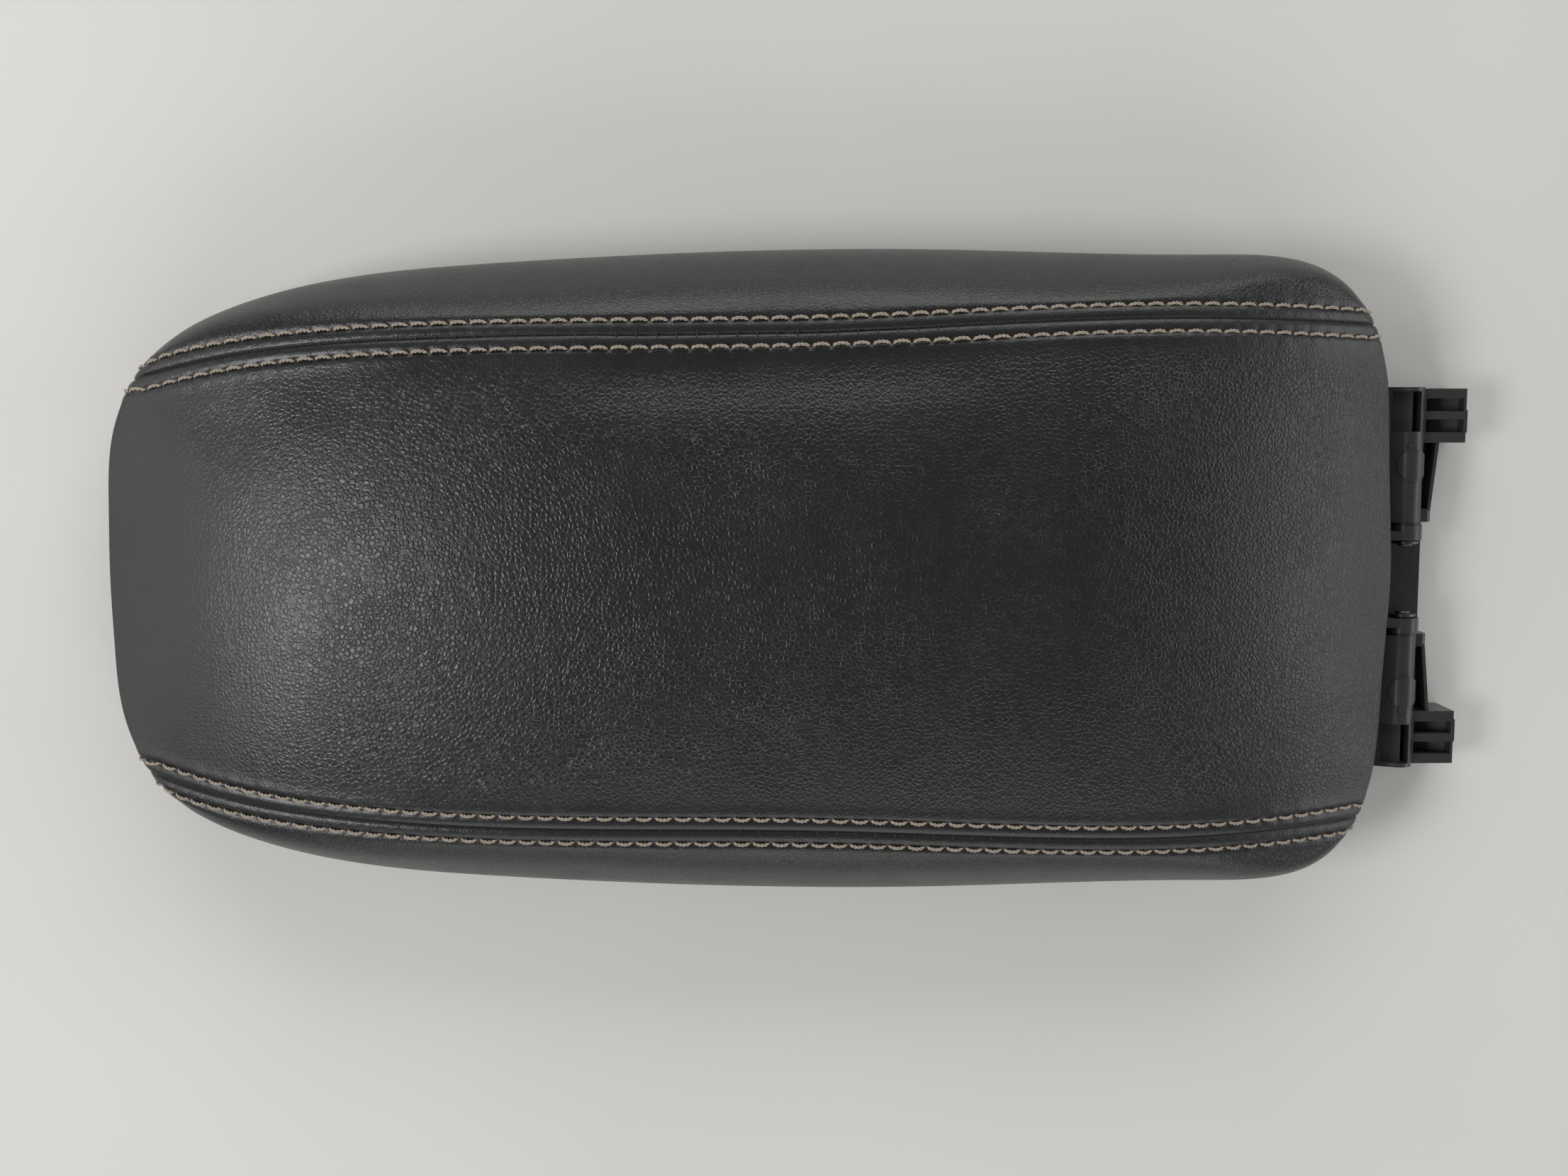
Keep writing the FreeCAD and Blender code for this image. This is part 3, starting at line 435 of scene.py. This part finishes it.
def stitch_row(name, seam, surface, offset, mirror):
    """A row of separate stitches of two-ply thread, each diving into its holes at both ends."""
    paths = []
    steps = 12
    strand, orbit, twist = 0.27, 0.22, 2.1       # radius of a ply, of its helix, and the helix's pitch
    sink, rise, lean = 0.5, 0.95, 0.32           # depth of the ends, height over them, and sideways bow
    for number in range(FIRST_STITCH, int((seam.length - ROW_STOP) / PITCH)):
        base = number * PITCH + 0.5 * (PITCH - STITCH)
        for ply in (0, 1):
            path = []
            for step in range(steps + 1):
                t = step / steps
                point, out, across = row_frame(seam, surface, base + t * STITCH, offset)
                arch = math.sin(math.pi * t)
                lift = rise * arch ** 0.45 - sink
                turn = 2 * math.pi * (t * STITCH / twist + 0.5 * ply)
                middle = point + out * lift + across * (lean * arch - lean / 2)
                centre = middle + orbit * (math.cos(turn) * out + math.sin(turn) * across)
                taper = 0.75 + 0.25 * min(arch * 3, 1.0)
                vectors = [np.array(v) for v in (centre, out, across)]
                if mirror:
                    for vector in vectors:
                        vector[1] = -vector[1]
                path.append((vectors[0], strand * taper, vectors[1], vectors[2]))
            paths.append(path)
    return tubes_mesh(name, paths, 6)


def seam_ties(name, seam, mirror):
    """The tight dark lockstitches that show in the bottom of the butted seam, at the rows' own pitch."""
    apart, sink, sag, radius = 0.36, 0.30, 0.06, 0.16    # steps across the seam, depth, sag and thickness
    paths = []
    for number in range(FIRST_STITCH, int((seam.length - TIES_STOP) / PITCH)):
        point, out, way = seam.read((number + 0.35) * PITCH)
        across = np.cross(way, out)
        path = []
        for step in range(-2, 3):
            centre = point + across * apart * step + out * (sag * step * step - sink)
            vectors = [np.array(v) for v in (centre, out, way)]
            if mirror:
                for vector in vectors:
                    vector[1] = -vector[1]
            path.append((vectors[0], radius, vectors[1], vectors[2]))
        paths.append(path)
    return tubes_mesh(name, paths, 5)


# ---------------------------------------------------------------- materials


class Looks:
    """One material under construction: its node tree and its shader."""

    def __init__(self, name, **sockets):
        self.material = bpy.data.materials.new(name)
        self.material.use_nodes = True
        self.tree = self.material.node_tree
        self.shader = self.tree.nodes["Principled BSDF"]
        for socket, value in sockets.items():
            self.shader.inputs[socket.replace("_", " ")].default_value = value
        self.place = self.add("ShaderNodeTexCoord").outputs["Object"]

    def add(self, kind, inputs=None, **settings):
        node = self.tree.nodes.new(kind)
        for key, value in settings.items():
            setattr(node, key, value)
        for key, value in (inputs or {}).items():
            if isinstance(value, bpy.types.NodeSocket):
                self.tree.links.new(value, node.inputs[key])
            else:
                node.inputs[key].default_value = value
        return node

    def noise(self, scale, detail, roughness=0.5, place=None):
        node = self.add("ShaderNodeTexNoise", {
            "Vector": place or self.place, "Scale": scale, "Detail": detail, "Roughness": roughness})
        return node.outputs[0]

    def maths(self, operation, a, b):
        return self.add("ShaderNodeMath", {0: a, 1: b}, operation=operation).outputs[0]

    def span(self, value, low, high, to_low=0.0, to_high=1.0):
        """A value mapped smoothly from one span to another, clamped."""
        node = self.add("ShaderNodeMapRange", {
            "Value": value, "From Min": low, "From Max": high, "To Min": to_low, "To Max": to_high},
            interpolation_type="SMOOTHSTEP")
        return node.outputs[0]

    def mix(self, share, a, b):
        node = self.add("ShaderNodeMix", {"Factor": share, 6: a, 7: b}, data_type="RGBA")
        return node.outputs[2]

    def stretched(self, x, y, z):
        """Object coordinates drawn out along the axes."""
        node = self.add("ShaderNodeVectorMath", {0: self.place, 1: (x, y, z)}, operation="MULTIPLY")
        return node.outputs[0]

    def bump(self, height, distance, strength, below=None):
        inputs = {"Height": height, "Distance": distance, "Strength": strength}
        if below is not None:
            inputs["Normal"] = below
        return self.add("ShaderNodeBump", inputs).outputs[0]

    def finish(self, **links):
        for socket, value in links.items():
            self.tree.links.new(value, self.shader.inputs[socket.replace("_", " ")])
        return self.material


def grey(level, tint=(1.0, 1.0, 1.0)):
    return tuple(level * part for part in tint) + (1.0,)


LEATHER_TINT = (0.98, 1.01, 0.98)


def leather(name, cell, depth):
    """Pebbled charcoal leatherette: rounded grains between creases that hold painted shade, a fine pore, dusty
    places, wear on the welts and painted sheen on the two ends of the top.
    """
    look = Looks(name, IOR=1.5, Specular_IOR_Level=0.58)
    warp = look.add("ShaderNodeTexNoise", {"Vector": look.place, "Scale": 0.35 / cell, "Detail": 2.0})
    pushed = look.add("ShaderNodeVectorMath", {0: warp.outputs["Color"], 1: (cell, cell, cell)},
                      operation="MULTIPLY")
    moved = look.add("ShaderNodeVectorMath", {0: look.place, 1: pushed.outputs[0]}, operation="ADD")
    place = moved.outputs[0]
    edges = look.add("ShaderNodeTexVoronoi", {"Vector": place, "Scale": 1 / cell, "Randomness": 0.95},
                     feature="DISTANCE_TO_EDGE").outputs["Distance"]
    small = look.add("ShaderNodeTexVoronoi", {"Vector": place, "Scale": 2.7 / cell, "Randomness": 1.0},
                     feature="F1").outputs["Distance"]
    pebble = look.span(edges, 0.0, 0.30)
    grain = look.add("ShaderNodeAttribute", attribute_name="grain").outputs["Fac"]
    drift = look.noise(38.0, 3.0)
    deep = look.maths("MULTIPLY", grain, look.span(drift, 0.3, 0.7, 0.8, 1.1))
    height = look.maths("MULTIPLY", pebble, deep)
    height = look.maths("SUBTRACT", height, look.maths("MULTIPLY", small, 0.22))
    fine = look.noise(2600.0, 2.0)
    normal = look.bump(fine, 0.00002, 0.15)
    normal = look.bump(height, depth, 0.9, normal)
    crease = look.maths("MULTIPLY", look.span(edges, 0.0, 0.14, 1.0, 0.0), deep)
    base = look.mix(look.span(look.noise(9.0, 4.0, 0.6), 0.35, 0.7),
                    grey(0.0095, LEATHER_TINT), grey(0.0125, LEATHER_TINT))
    # painted shade: the base colour is darkened in the creases between the grains
    base = look.mix(look.maths("MULTIPLY", crease, 0.75), base, grey(0.005, LEATHER_TINT))
    # the base colour is lightened by wear on the welts and by painted sheen on the two ends of the top
    wear_and_sheen_mask = look.add("ShaderNodeAttribute", attribute_name="wear_and_sheen").outputs["Fac"]
    base = look.mix(look.maths("MULTIPLY", wear_and_sheen_mask, 0.55), base, grey(0.026, (1.0, 1.0, 0.98)))
    lint = look.add("ShaderNodeTexVoronoi", {"Vector": look.place, "Scale": 160.0, "Randomness": 1.0},
                    feature="F1")
    speck = look.span(lint.outputs["Distance"], 0.035, 0.055, 1.0, 0.0)
    chance = look.add("ShaderNodeSeparateColor", {"Color": lint.outputs["Color"]}).outputs[0]
    some = look.span(chance, 0.955, 0.965)
    base = look.mix(look.maths("MULTIPLY", look.maths("MULTIPLY", speck, some), 0.4), base, grey(0.35))
    rough = look.span(look.noise(60.0, 3.0), 0.3, 0.7, 0.31, 0.36)
    rough = look.maths("ADD", rough, look.maths("MULTIPLY", crease, 0.10))
    return look.finish(Base_Color=base, Roughness=rough, Normal=normal)


def yarn(name, light, dark):
    """Two-ply polyester sewing thread: fine slanted fibres and a little uneven dye."""
    look = Looks(name, IOR=1.5, Specular_IOR_Level=0.3, Sheen_Weight=0.25, Sheen_Roughness=0.5)
    fibre = look.noise(1.0, 2.0, 0.6, look.stretched(2600.0, 6200.0, 6200.0))
    tone = look.noise(420.0, 3.0)
    base = look.mix(look.span(fibre, 0.3, 0.7), dark, light)
    base = look.mix(look.span(tone, 0.35, 0.75, 0.0, 0.45), base, dark)
    rough = look.span(fibre, 0.2, 0.8, 0.62, 0.85)
    return look.finish(Base_Color=base, Roughness=rough, Normal=look.bump(fibre, 0.00006, 0.7))


def moulded(name, level, tint, roughness, grain, depth=0.00004, scuff=0.3):
    """Moulded plastic: a fine spark-eroded texture, faint flow lines and light scuffs."""
    look = Looks(name, IOR=1.5, Specular_IOR_Level=0.5)
    texture = look.noise(grain, 3.0, 0.6)
    flow = look.noise(1.0, 2.0, 0.5, look.stretched(40.0, 220.0, 220.0))
    scratch = look.noise(1.0, 4.0, 0.7, look.stretched(90.0, 1400.0, 500.0))
    base = look.mix(look.span(flow, 0.3, 0.7), grey(level * 0.94, tint), grey(level * 1.07, tint))
    mark = look.span(scratch, 0.62, 0.72, 0.0, scuff)
    base = look.mix(mark, base, grey(level * 1.9 + 0.01, tint))
    rough = look.maths("ADD", look.span(texture, 0.3, 0.7, roughness - 0.05, roughness + 0.06),
                       look.maths("MULTIPLY", mark, 0.25))
    return look.finish(Base_Color=base, Roughness=rough, Normal=look.bump(texture, depth, 0.8))


def plated(name, level, tint, roughness):
    """Plated steel: turned lines, a mottled passivation and duller spots."""
    look = Looks(name, Metallic=1.0)
    mottle = look.noise(520.0, 4.0, 0.6)
    lines = look.noise(1.0, 2.0, 0.5, look.stretched(900.0, 9000.0, 900.0))
    base = look.mix(look.span(mottle, 0.3, 0.75), grey(level, tint), grey(level * 0.72))
    rough = look.maths("ADD", look.span(lines, 0.3, 0.7, roughness - 0.06, roughness + 0.08),
                       look.span(mottle, 0.55, 0.8, 0.0, 0.14))
    return look.finish(Base_Color=base, Roughness=rough, Normal=look.bump(lines, 0.00001, 0.5))


def soft_rubber(name):
    """Matt black rubber with a dusty bloom."""
    look = Looks(name, IOR=1.5, Specular_IOR_Level=0.3)
    bloom = look.noise(300.0, 4.0, 0.65)
    pores = look.noise(2400.0, 2.0)
    base = look.mix(look.span(bloom, 0.4, 0.8), grey(0.012), grey(0.04))
    return look.finish(Base_Color=base, Roughness=look.span(bloom, 0.3, 0.8, 0.72, 0.92),
                       Normal=look.bump(pores, 0.00005, 0.6))


def open_foam(name):
    """Moulded polyurethane foam: a skin of small open cells with painted shade in their hollows, yellowed in
    places.
    """
    look = Looks(name, IOR=1.4, Specular_IOR_Level=0.2)
    cells = look.add("ShaderNodeTexVoronoi", {"Vector": look.place, "Scale": 1400.0},
                     feature="F1").outputs["Distance"]
    stain = look.noise(22.0, 3.0)
    base = look.mix(look.span(stain, 0.35, 0.7), (0.42, 0.40, 0.34, 1.0), (0.34, 0.30, 0.22, 1.0))
    # painted shade: the hollows of the open cells are drawn darker
    base = look.mix(look.span(cells, 0.1, 0.5, 0.5, 0.0), base, (0.14, 0.13, 0.10, 1.0))
    return look.finish(Base_Color=base, Roughness=look.span(cells, 0.0, 0.6, 0.98, 0.8),
                       Normal=look.bump(cells, 0.0003, 0.8))


def board(name):
    """The pale painted board under the lid."""
    look = Looks(name, IOR=1.45, Specular_IOR_Level=0.25)
    cloud = look.noise(3.0, 4.0)
    fleck = look.noise(900.0, 2.0)
    base = look.mix(look.span(cloud, 0.3, 0.7), (0.70, 0.69, 0.665, 1.0), (0.76, 0.75, 0.725, 1.0))
    return look.finish(Base_Color=base, Roughness=look.span(fleck, 0.3, 0.7, 0.6, 0.72),
                       Normal=look.bump(fleck, 0.00004, 0.4))


MATERIALS = {
    "leather_center": leather("leather_center", 0.00128, 0.00010),
    "leather_side": leather("leather_side", 0.00115, 0.00008),
    "thread": yarn("thread", (0.50, 0.43, 0.34, 1.0), (0.27, 0.225, 0.175, 1.0)),
    "seam_thread": yarn("seam_thread", (0.035, 0.034, 0.032, 1.0), (0.012, 0.012, 0.012, 1.0)),
    "foam": open_foam("foam"),
    "core_plastic": moulded("core_plastic", 0.032, (1.0, 1.0, 1.02), 0.55, 1500.0),
    "liner_plastic": moulded("liner_plastic", 0.026, (1.0, 1.0, 1.03), 0.62, 900.0, 0.0001),
    "hinge_plastic": moulded("hinge_plastic", 0.030, (0.99, 1.0, 1.01), 0.33, 2600.0, 0.00002, 0.35),
    "lever_plastic": moulded("lever_plastic", 0.02, (1.0, 1.0, 1.0), 0.42, 2000.0),
    "steel": plated("steel", 0.62, (1.0, 1.0, 1.01), 0.28),
    "zinc_screw": plated("zinc_screw", 0.52, (1.0, 0.98, 0.93), 0.36),
    "dark_steel": plated("dark_steel", 0.13, (1.0, 1.0, 1.03), 0.40),
    "black_acetal": moulded("black_acetal", 0.022, (1.0, 1.0, 1.0), 0.36, 1800.0, 0.00002, 0.15),
    "acetal": moulded("acetal", 0.62, (1.0, 0.99, 0.94), 0.4, 1800.0, 0.00002, 0.1),
    "rubber": soft_rubber("rubber"),
}


def paint(item, slot):
    item.data.materials.clear()
    item.data.materials.append(MATERIALS[slot])


def paint_frame():
    """Every CAD node gets the material of its slot in the record."""
    for part in frame["record"]["subparts"]:
        item = frame["nodes"][part["node"]]
        item.data.materials.clear()
        item.data.materials.append(MATERIALS[part["material_slot"]])


# ---------------------------------------------------------------- how the stuffed cover swells

VOXEL = 5.0                      # mesh size of the simulated cover
SWELL_CAP = 5.0                  # the most that a point may move
PRESSURE = 4.0
FRAMES = 20
SEAM_HOLD = 5.0                  # how far from the seam the stitching holds the cover
BELT_HOLD, BELT_FREE = -3, 9     # heights over the belt between which the cover comes free
FIELD_POINTS = 40                # simulated points that one point of a panel follows
FIELD_REACH = 9.0                # how fast their pull falls off
COARSE = 3                       # every third line and point is looked up, the rest are between


def grid_faces(rows, columns, start, flipped=False):
    """Four-sided faces of a point grid whose first point has a given number, facing one way or the other."""
    corners = [start + row * columns + k for row in range(rows - 1) for k in range(columns - 1)]
    if flipped:
        return [(a, a + columns, a + columns + 1, a + 1) for a in corners]
    return [(a, a + 1, a + columns + 1, a + columns) for a in corners]


def closed_copy(grids):
    """One closed, evenly meshed body of the whole cover."""
    points, faces = [], []
    for grid in grids:
        faces += grid_faces(*grid.shape[:2], len(points))
        points += (grid.reshape(-1, 3) * MM).tolist()
    mesh = bpy.data.meshes.new("stuffing")
    mesh.from_pydata(points, [], faces)
    work = bmesh.new()
    work.from_mesh(mesh)
    bmesh.ops.remove_doubles(work, verts=work.verts, dist=0.4 * MM)
    bmesh.ops.holes_fill(work, edges=[edge for edge in work.edges if edge.is_boundary], sides=0)
    bmesh.ops.recalc_face_normals(work, faces=work.faces)
    work.to_mesh(mesh)
    work.free()
    item = bpy.data.objects.new("stuffing", mesh)
    bpy.context.scene.collection.objects.link(item)
    remesh = item.modifiers.new("even", "REMESH")
    remesh.mode = "VOXEL"
    remesh.voxel_size = VOXEL * MM
    graph = bpy.context.evaluated_depsgraph_get()
    even = bpy.data.meshes.new_from_object(item.evaluated_get(graph))
    item.modifiers.clear()
    item.data = even
    return item


def coordinates(mesh):
    flat = np.empty(len(mesh.vertices) * 3)
    mesh.vertices.foreach_get("co", flat)
    return flat.reshape(-1, 3) / MM


def swell(grids, seam):
    """Blows the stuffed cover up by cloth simulation, held at the seams and below the belt.

    Returns the rest points and how far each one moved.
    """
    item = closed_copy(grids)
    rest = coordinates(item.data)
    gap, _ = seam.distances(rest[:, None, :], 40.0)
    sewn = np.exp(-(gap[:, 0] / SEAM_HOLD) ** 2)
    held = np.maximum(sewn, 1 - ease_in(BELT_Z + BELT_HOLD, BELT_Z + BELT_FREE, rest[:, 2]))
    group = item.vertex_groups.new(name="held")
    for index, weight in enumerate(held):
        group.add([index], float(weight), "REPLACE")
    cloth = item.modifiers.new("cloth", "CLOTH")
    cloth.settings.quality = 6
    cloth.settings.mass = 0.35
    cloth.settings.tension_stiffness = 18.0
    cloth.settings.compression_stiffness = 18.0
    cloth.settings.bending_stiffness = 1.5
    cloth.settings.use_pressure = True
    cloth.settings.uniform_pressure_force = PRESSURE
    cloth.settings.vertex_group_mass = "held"
    cloth.settings.effector_weights.gravity = 0.0
    cloth.collision_settings.use_collision = False
    cloth.point_cache.frame_start = 1
    cloth.point_cache.frame_end = FRAMES
    scene = bpy.context.scene
    for step in range(1, FRAMES + 1):
        scene.frame_set(step)
    graph = bpy.context.evaluated_depsgraph_get()
    blown = coordinates(item.evaluated_get(graph).to_mesh())
    moved = blown - rest
    size = np.linalg.norm(moved, axis=1, keepdims=True)
    moved *= np.minimum(1.0, SWELL_CAP / np.maximum(size, 1e-6))
    print("swell", len(rest), "points, largest", float(size.max()), "mean", float(size.mean()))
    scene.frame_set(1)
    bpy.data.objects.remove(item)
    return rest, moved


def swollen(grid, field):
    """A panel moved as the simulated body near it moved."""
    if field is None:
        return grid
    rest, moved = field
    tree = KDTree(len(rest))
    for index, point in enumerate(rest):
        tree.insert(Vector(point), index)
    tree.balance()
    coarse = grid[::COARSE, ::COARSE]
    shift = np.zeros(coarse.shape)
    for place in np.ndindex(coarse.shape[:2]):
        found = tree.find_n(Vector(coarse[place]), FIELD_POINTS)
        weights = np.array([math.exp(-(distance / FIELD_REACH) ** 2) for _, _, distance in found])
        rows = np.array([moved[index] for _, index, _ in found])
        shift[place] = (rows * weights[:, None]).sum(0) / weights.sum()
    full = np.empty(grid.shape)
    rows, columns = np.arange(grid.shape[0]), np.arange(grid.shape[1])
    for axis in range(3):
        along = np.stack([np.interp(rows, rows[::COARSE], line) for line in shift[..., axis].T], axis=1)
        full[..., axis] = np.stack([np.interp(columns, columns[::COARSE], line) for line in along], axis=0)
    return grid + full


# ---------------------------------------------------------------- the cover and its seams


def puckers(grid, gap, along):
    """Small gathers of the leather that run into the stitch rows, and a slow unevenness of the padding."""
    x, y = grid[..., 0], grid[..., 1]
    gather = np.sin(along * 0.47 + 1.3 * np.sin(along * 0.11)) + 0.6 * np.sin(along * 0.83 + 2.0)
    near = np.exp(-((gap - 7.5) / 4.5) ** 2)
    slow = np.sin(x * 0.041 + 0.9) * np.cos(y * 0.052) + 0.7 * np.sin(x * 0.023 - y * 0.031 + 2.1)
    return 0.035 * gather * near + 0.07 * slow


def grain_strength(grid, gap, panel):
    """How deep the pebbled grain stands: full on the top, stretched flat to the front end and the seams."""
    x, y = grid[..., 0], grid[..., 1]
    ends = ease_in(FRONT_X + 12, FRONT_X + 85, x) * (1 - 0.1 * ease_in(REAR_X - 70, REAR_X - 12, x))
    seam = ease_in(2.0, 16.0, gap)
    return 0.20 + 0.80 * ends * seam if panel == "centre" else 0.40 + 0.60 * ease_in(2.0, 12.0, gap)


def wear_and_sheen_strength(grid, gap):
    """Where the cover is drawn lighter: wear on the welts from hands and sleeves, and painted sheen on the two
    ends of the top.
    """
    x = grid[..., 0]
    welt = 0.2 * bump_at(gap, 2.0, 1.4)
    # painted sheen: the rolled front and rear ends of the top are drawn lighter
    ends = 0.35 * (1 - ease_in(FRONT_X + 2, FRONT_X + 22, x)) + 0.4 * ease_in(REAR_X - 14, REAR_X - 2, x)
    return np.clip(welt + ends * (grid[..., 2] > BELT_Z - 4), 0, 1)


def finish_panel(name, grid, seam, panel, slot, cad_nodes, field):
    gap, along = seam.distances(grid, 30.0)
    grid = swollen(grid, field)
    soft = puckers(grid, gap, along) * ease_in(BELT_Z - 6, BELT_Z + 6, grid[..., 2])
    shaped = grid + grid_normals(grid) * soft[..., None]
    relief = seam_relief(gap, along) * ease_in(SKIRT_Z - 0.6, SKIRT_Z + 2.0, grid[..., 2])
    shaped = shaped + grid_normals(shaped) * relief[..., None]
    item = grid_mesh(name, shaped, {
        "grain": grain_strength(grid, gap, panel), "wear_and_sheen": wear_and_sheen_strength(grid, gap)})
    paint(item, slot)
    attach(item, "lid")
    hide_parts(*cad_nodes)


def surface_of(*grids):
    """One tree of the cover's outer surface on the +Y side, for laying thread on it."""
    points, faces = [], []
    for grid in grids:
        faces += grid_faces(*grid.shape[:2], len(points), flipped=True)
        points += [Vector(point) for point in grid.reshape(-1, 3)]
    return BVHTree.FromPolygons(points, faces)


def make_cover():
    centre, shares = centre_grid()
    side = side_grid()
    first = int(np.argmax(np.isclose(shares, 1.0)))
    seam = Seam(centre[first], grid_normals(centre)[first])
    mirrored = side * np.array([1.0, -1.0, 1.0])
    field = swell([centre[::4, ::4], side[::4, ::4], mirrored[::4, ::4]], seam)
    finish_panel("cover_center", centre, seam, "centre", "leather_center",
                 ["skin_center_panel", "foam_pad"], field)
    finish_panel("cover_side_left", side, seam, "side", "leather_side", ["skin_side_left"], field)
    finish_panel("cover_side_right", mirrored, seam, "side", "leather_side", ["skin_side_right"], field)
    half = len(shares) // 2
    plain = surface_of(centre[half:], side)
    for mirror, word in ((False, "left"), (True, "right")):
        for place, offset in (("outer", ROW), ("inner", -ROW)):
            row = stitch_row(f"stitches_{place}_{word}", seam, plain, offset, mirror)
            paint(row, "thread")
            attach(row, "lid")
            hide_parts(f"topstitch_{place}_{word}")
        ties = seam_ties(f"seam_ties_{word}", seam, mirror)
        ties.data.materials.append(MATERIALS["seam_thread"])
        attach(ties, "lid")


# ---------------------------------------------------------------- room, light and camera


FLOOR_REACH = 1.6                # metres from the middle of the lid to the floor's edges
FLOOR_Z = -0.0004
LENS = 41.16                     # focal length in millimetres, on a sensor 36 mm wide
CAMERA_PLACE = (-0.0141, 0.0509, 0.5075)
CAMERA_TILT = (0.112, 0.021, 0.003)      # radians about X, Y and Z, from looking straight down


def make_floor():
    count = 9
    rows = np.linspace(-FLOOR_REACH, FLOOR_REACH, count)
    points = [(x, y, FLOOR_Z) for x in rows for y in rows]
    faces = grid_faces(count, count, 0, flipped=True)
    mesh = bpy.data.meshes.new("floor")
    mesh.from_pydata(points, [], faces)
    item = bpy.data.objects.new("floor", mesh)
    bpy.context.scene.collection.objects.link(item)
    mesh.materials.append(board("board"))


def area_light(name, place, target, size, power, colour):
    data = bpy.data.lights.new(name, "AREA")
    data.shape = "RECTANGLE"
    data.size, data.size_y = size
    data.energy = power
    data.color = colour
    item = bpy.data.objects.new(name, data)
    item.location = place
    item.rotation_euler = (Vector(target) - Vector(place)).to_track_quat("-Z", "Y").to_euler()
    bpy.context.scene.collection.objects.link(item)


def make_light():
    world = bpy.data.worlds.new("studio")
    world.use_nodes = True
    sky = world.node_tree.nodes["Background"]
    sky.inputs["Color"].default_value = (0.95, 0.98, 1.0, 1.0)
    sky.inputs["Strength"].default_value = 0.16
    bpy.context.scene.world = world
    area_light("window", (-0.78, -0.13, 0.84), (-0.10, 0.0, 0.03), (0.42, 0.34), 4.8, (1.0, 1.0, 1.0))
    area_light("back", (0.10, 1.45, 0.80), (0.0, 0.0, 0.0), (2.2, 1.0), 16.5, (1.0, 0.99, 0.97))
    area_light("front", (0.10, -1.45, 0.80), (0.0, 0.0, 0.0), (2.2, 1.0), 10.5, (1.0, 0.99, 0.97))
    area_light("left", (-1.35, 0.10, 0.42), (-0.1, 0.0, 0.0), (1.2, 0.5), 2.6, (1.0, 1.0, 1.0))
    area_light("fill", (1.25, 0.0, 0.45), (0.1, 0.0, 0.0), (1.2, 0.6), 4.5, (0.97, 0.98, 1.0))


def make_camera():
    data = bpy.data.cameras.new("camera")
    data.lens = LENS
    data.sensor_width = 36.0
    data.clip_start = 0.01
    item = bpy.data.objects.new("camera", data)
    about_x, about_y, about_z = (Matrix.Rotation(turn, 3, axis) for turn, axis in zip(CAMERA_TILT, "XYZ"))
    turned = (about_z @ about_y @ about_x).transposed().to_4x4()
    item.matrix_world = Matrix.Translation(CAMERA_PLACE) @ turned
    bpy.context.scene.collection.objects.link(item)
    bpy.context.scene.camera = item


def clear_start_scene():
    for name in ("Cube", "Light", "Camera"):
        item = bpy.data.objects.get(name)
        if item is not None:
            bpy.data.objects.remove(item)


clear_start_scene()
paint_frame()
make_cover()
make_floor()
make_light()
make_camera()
bpy.context.scene.view_settings.view_transform = "Standard"
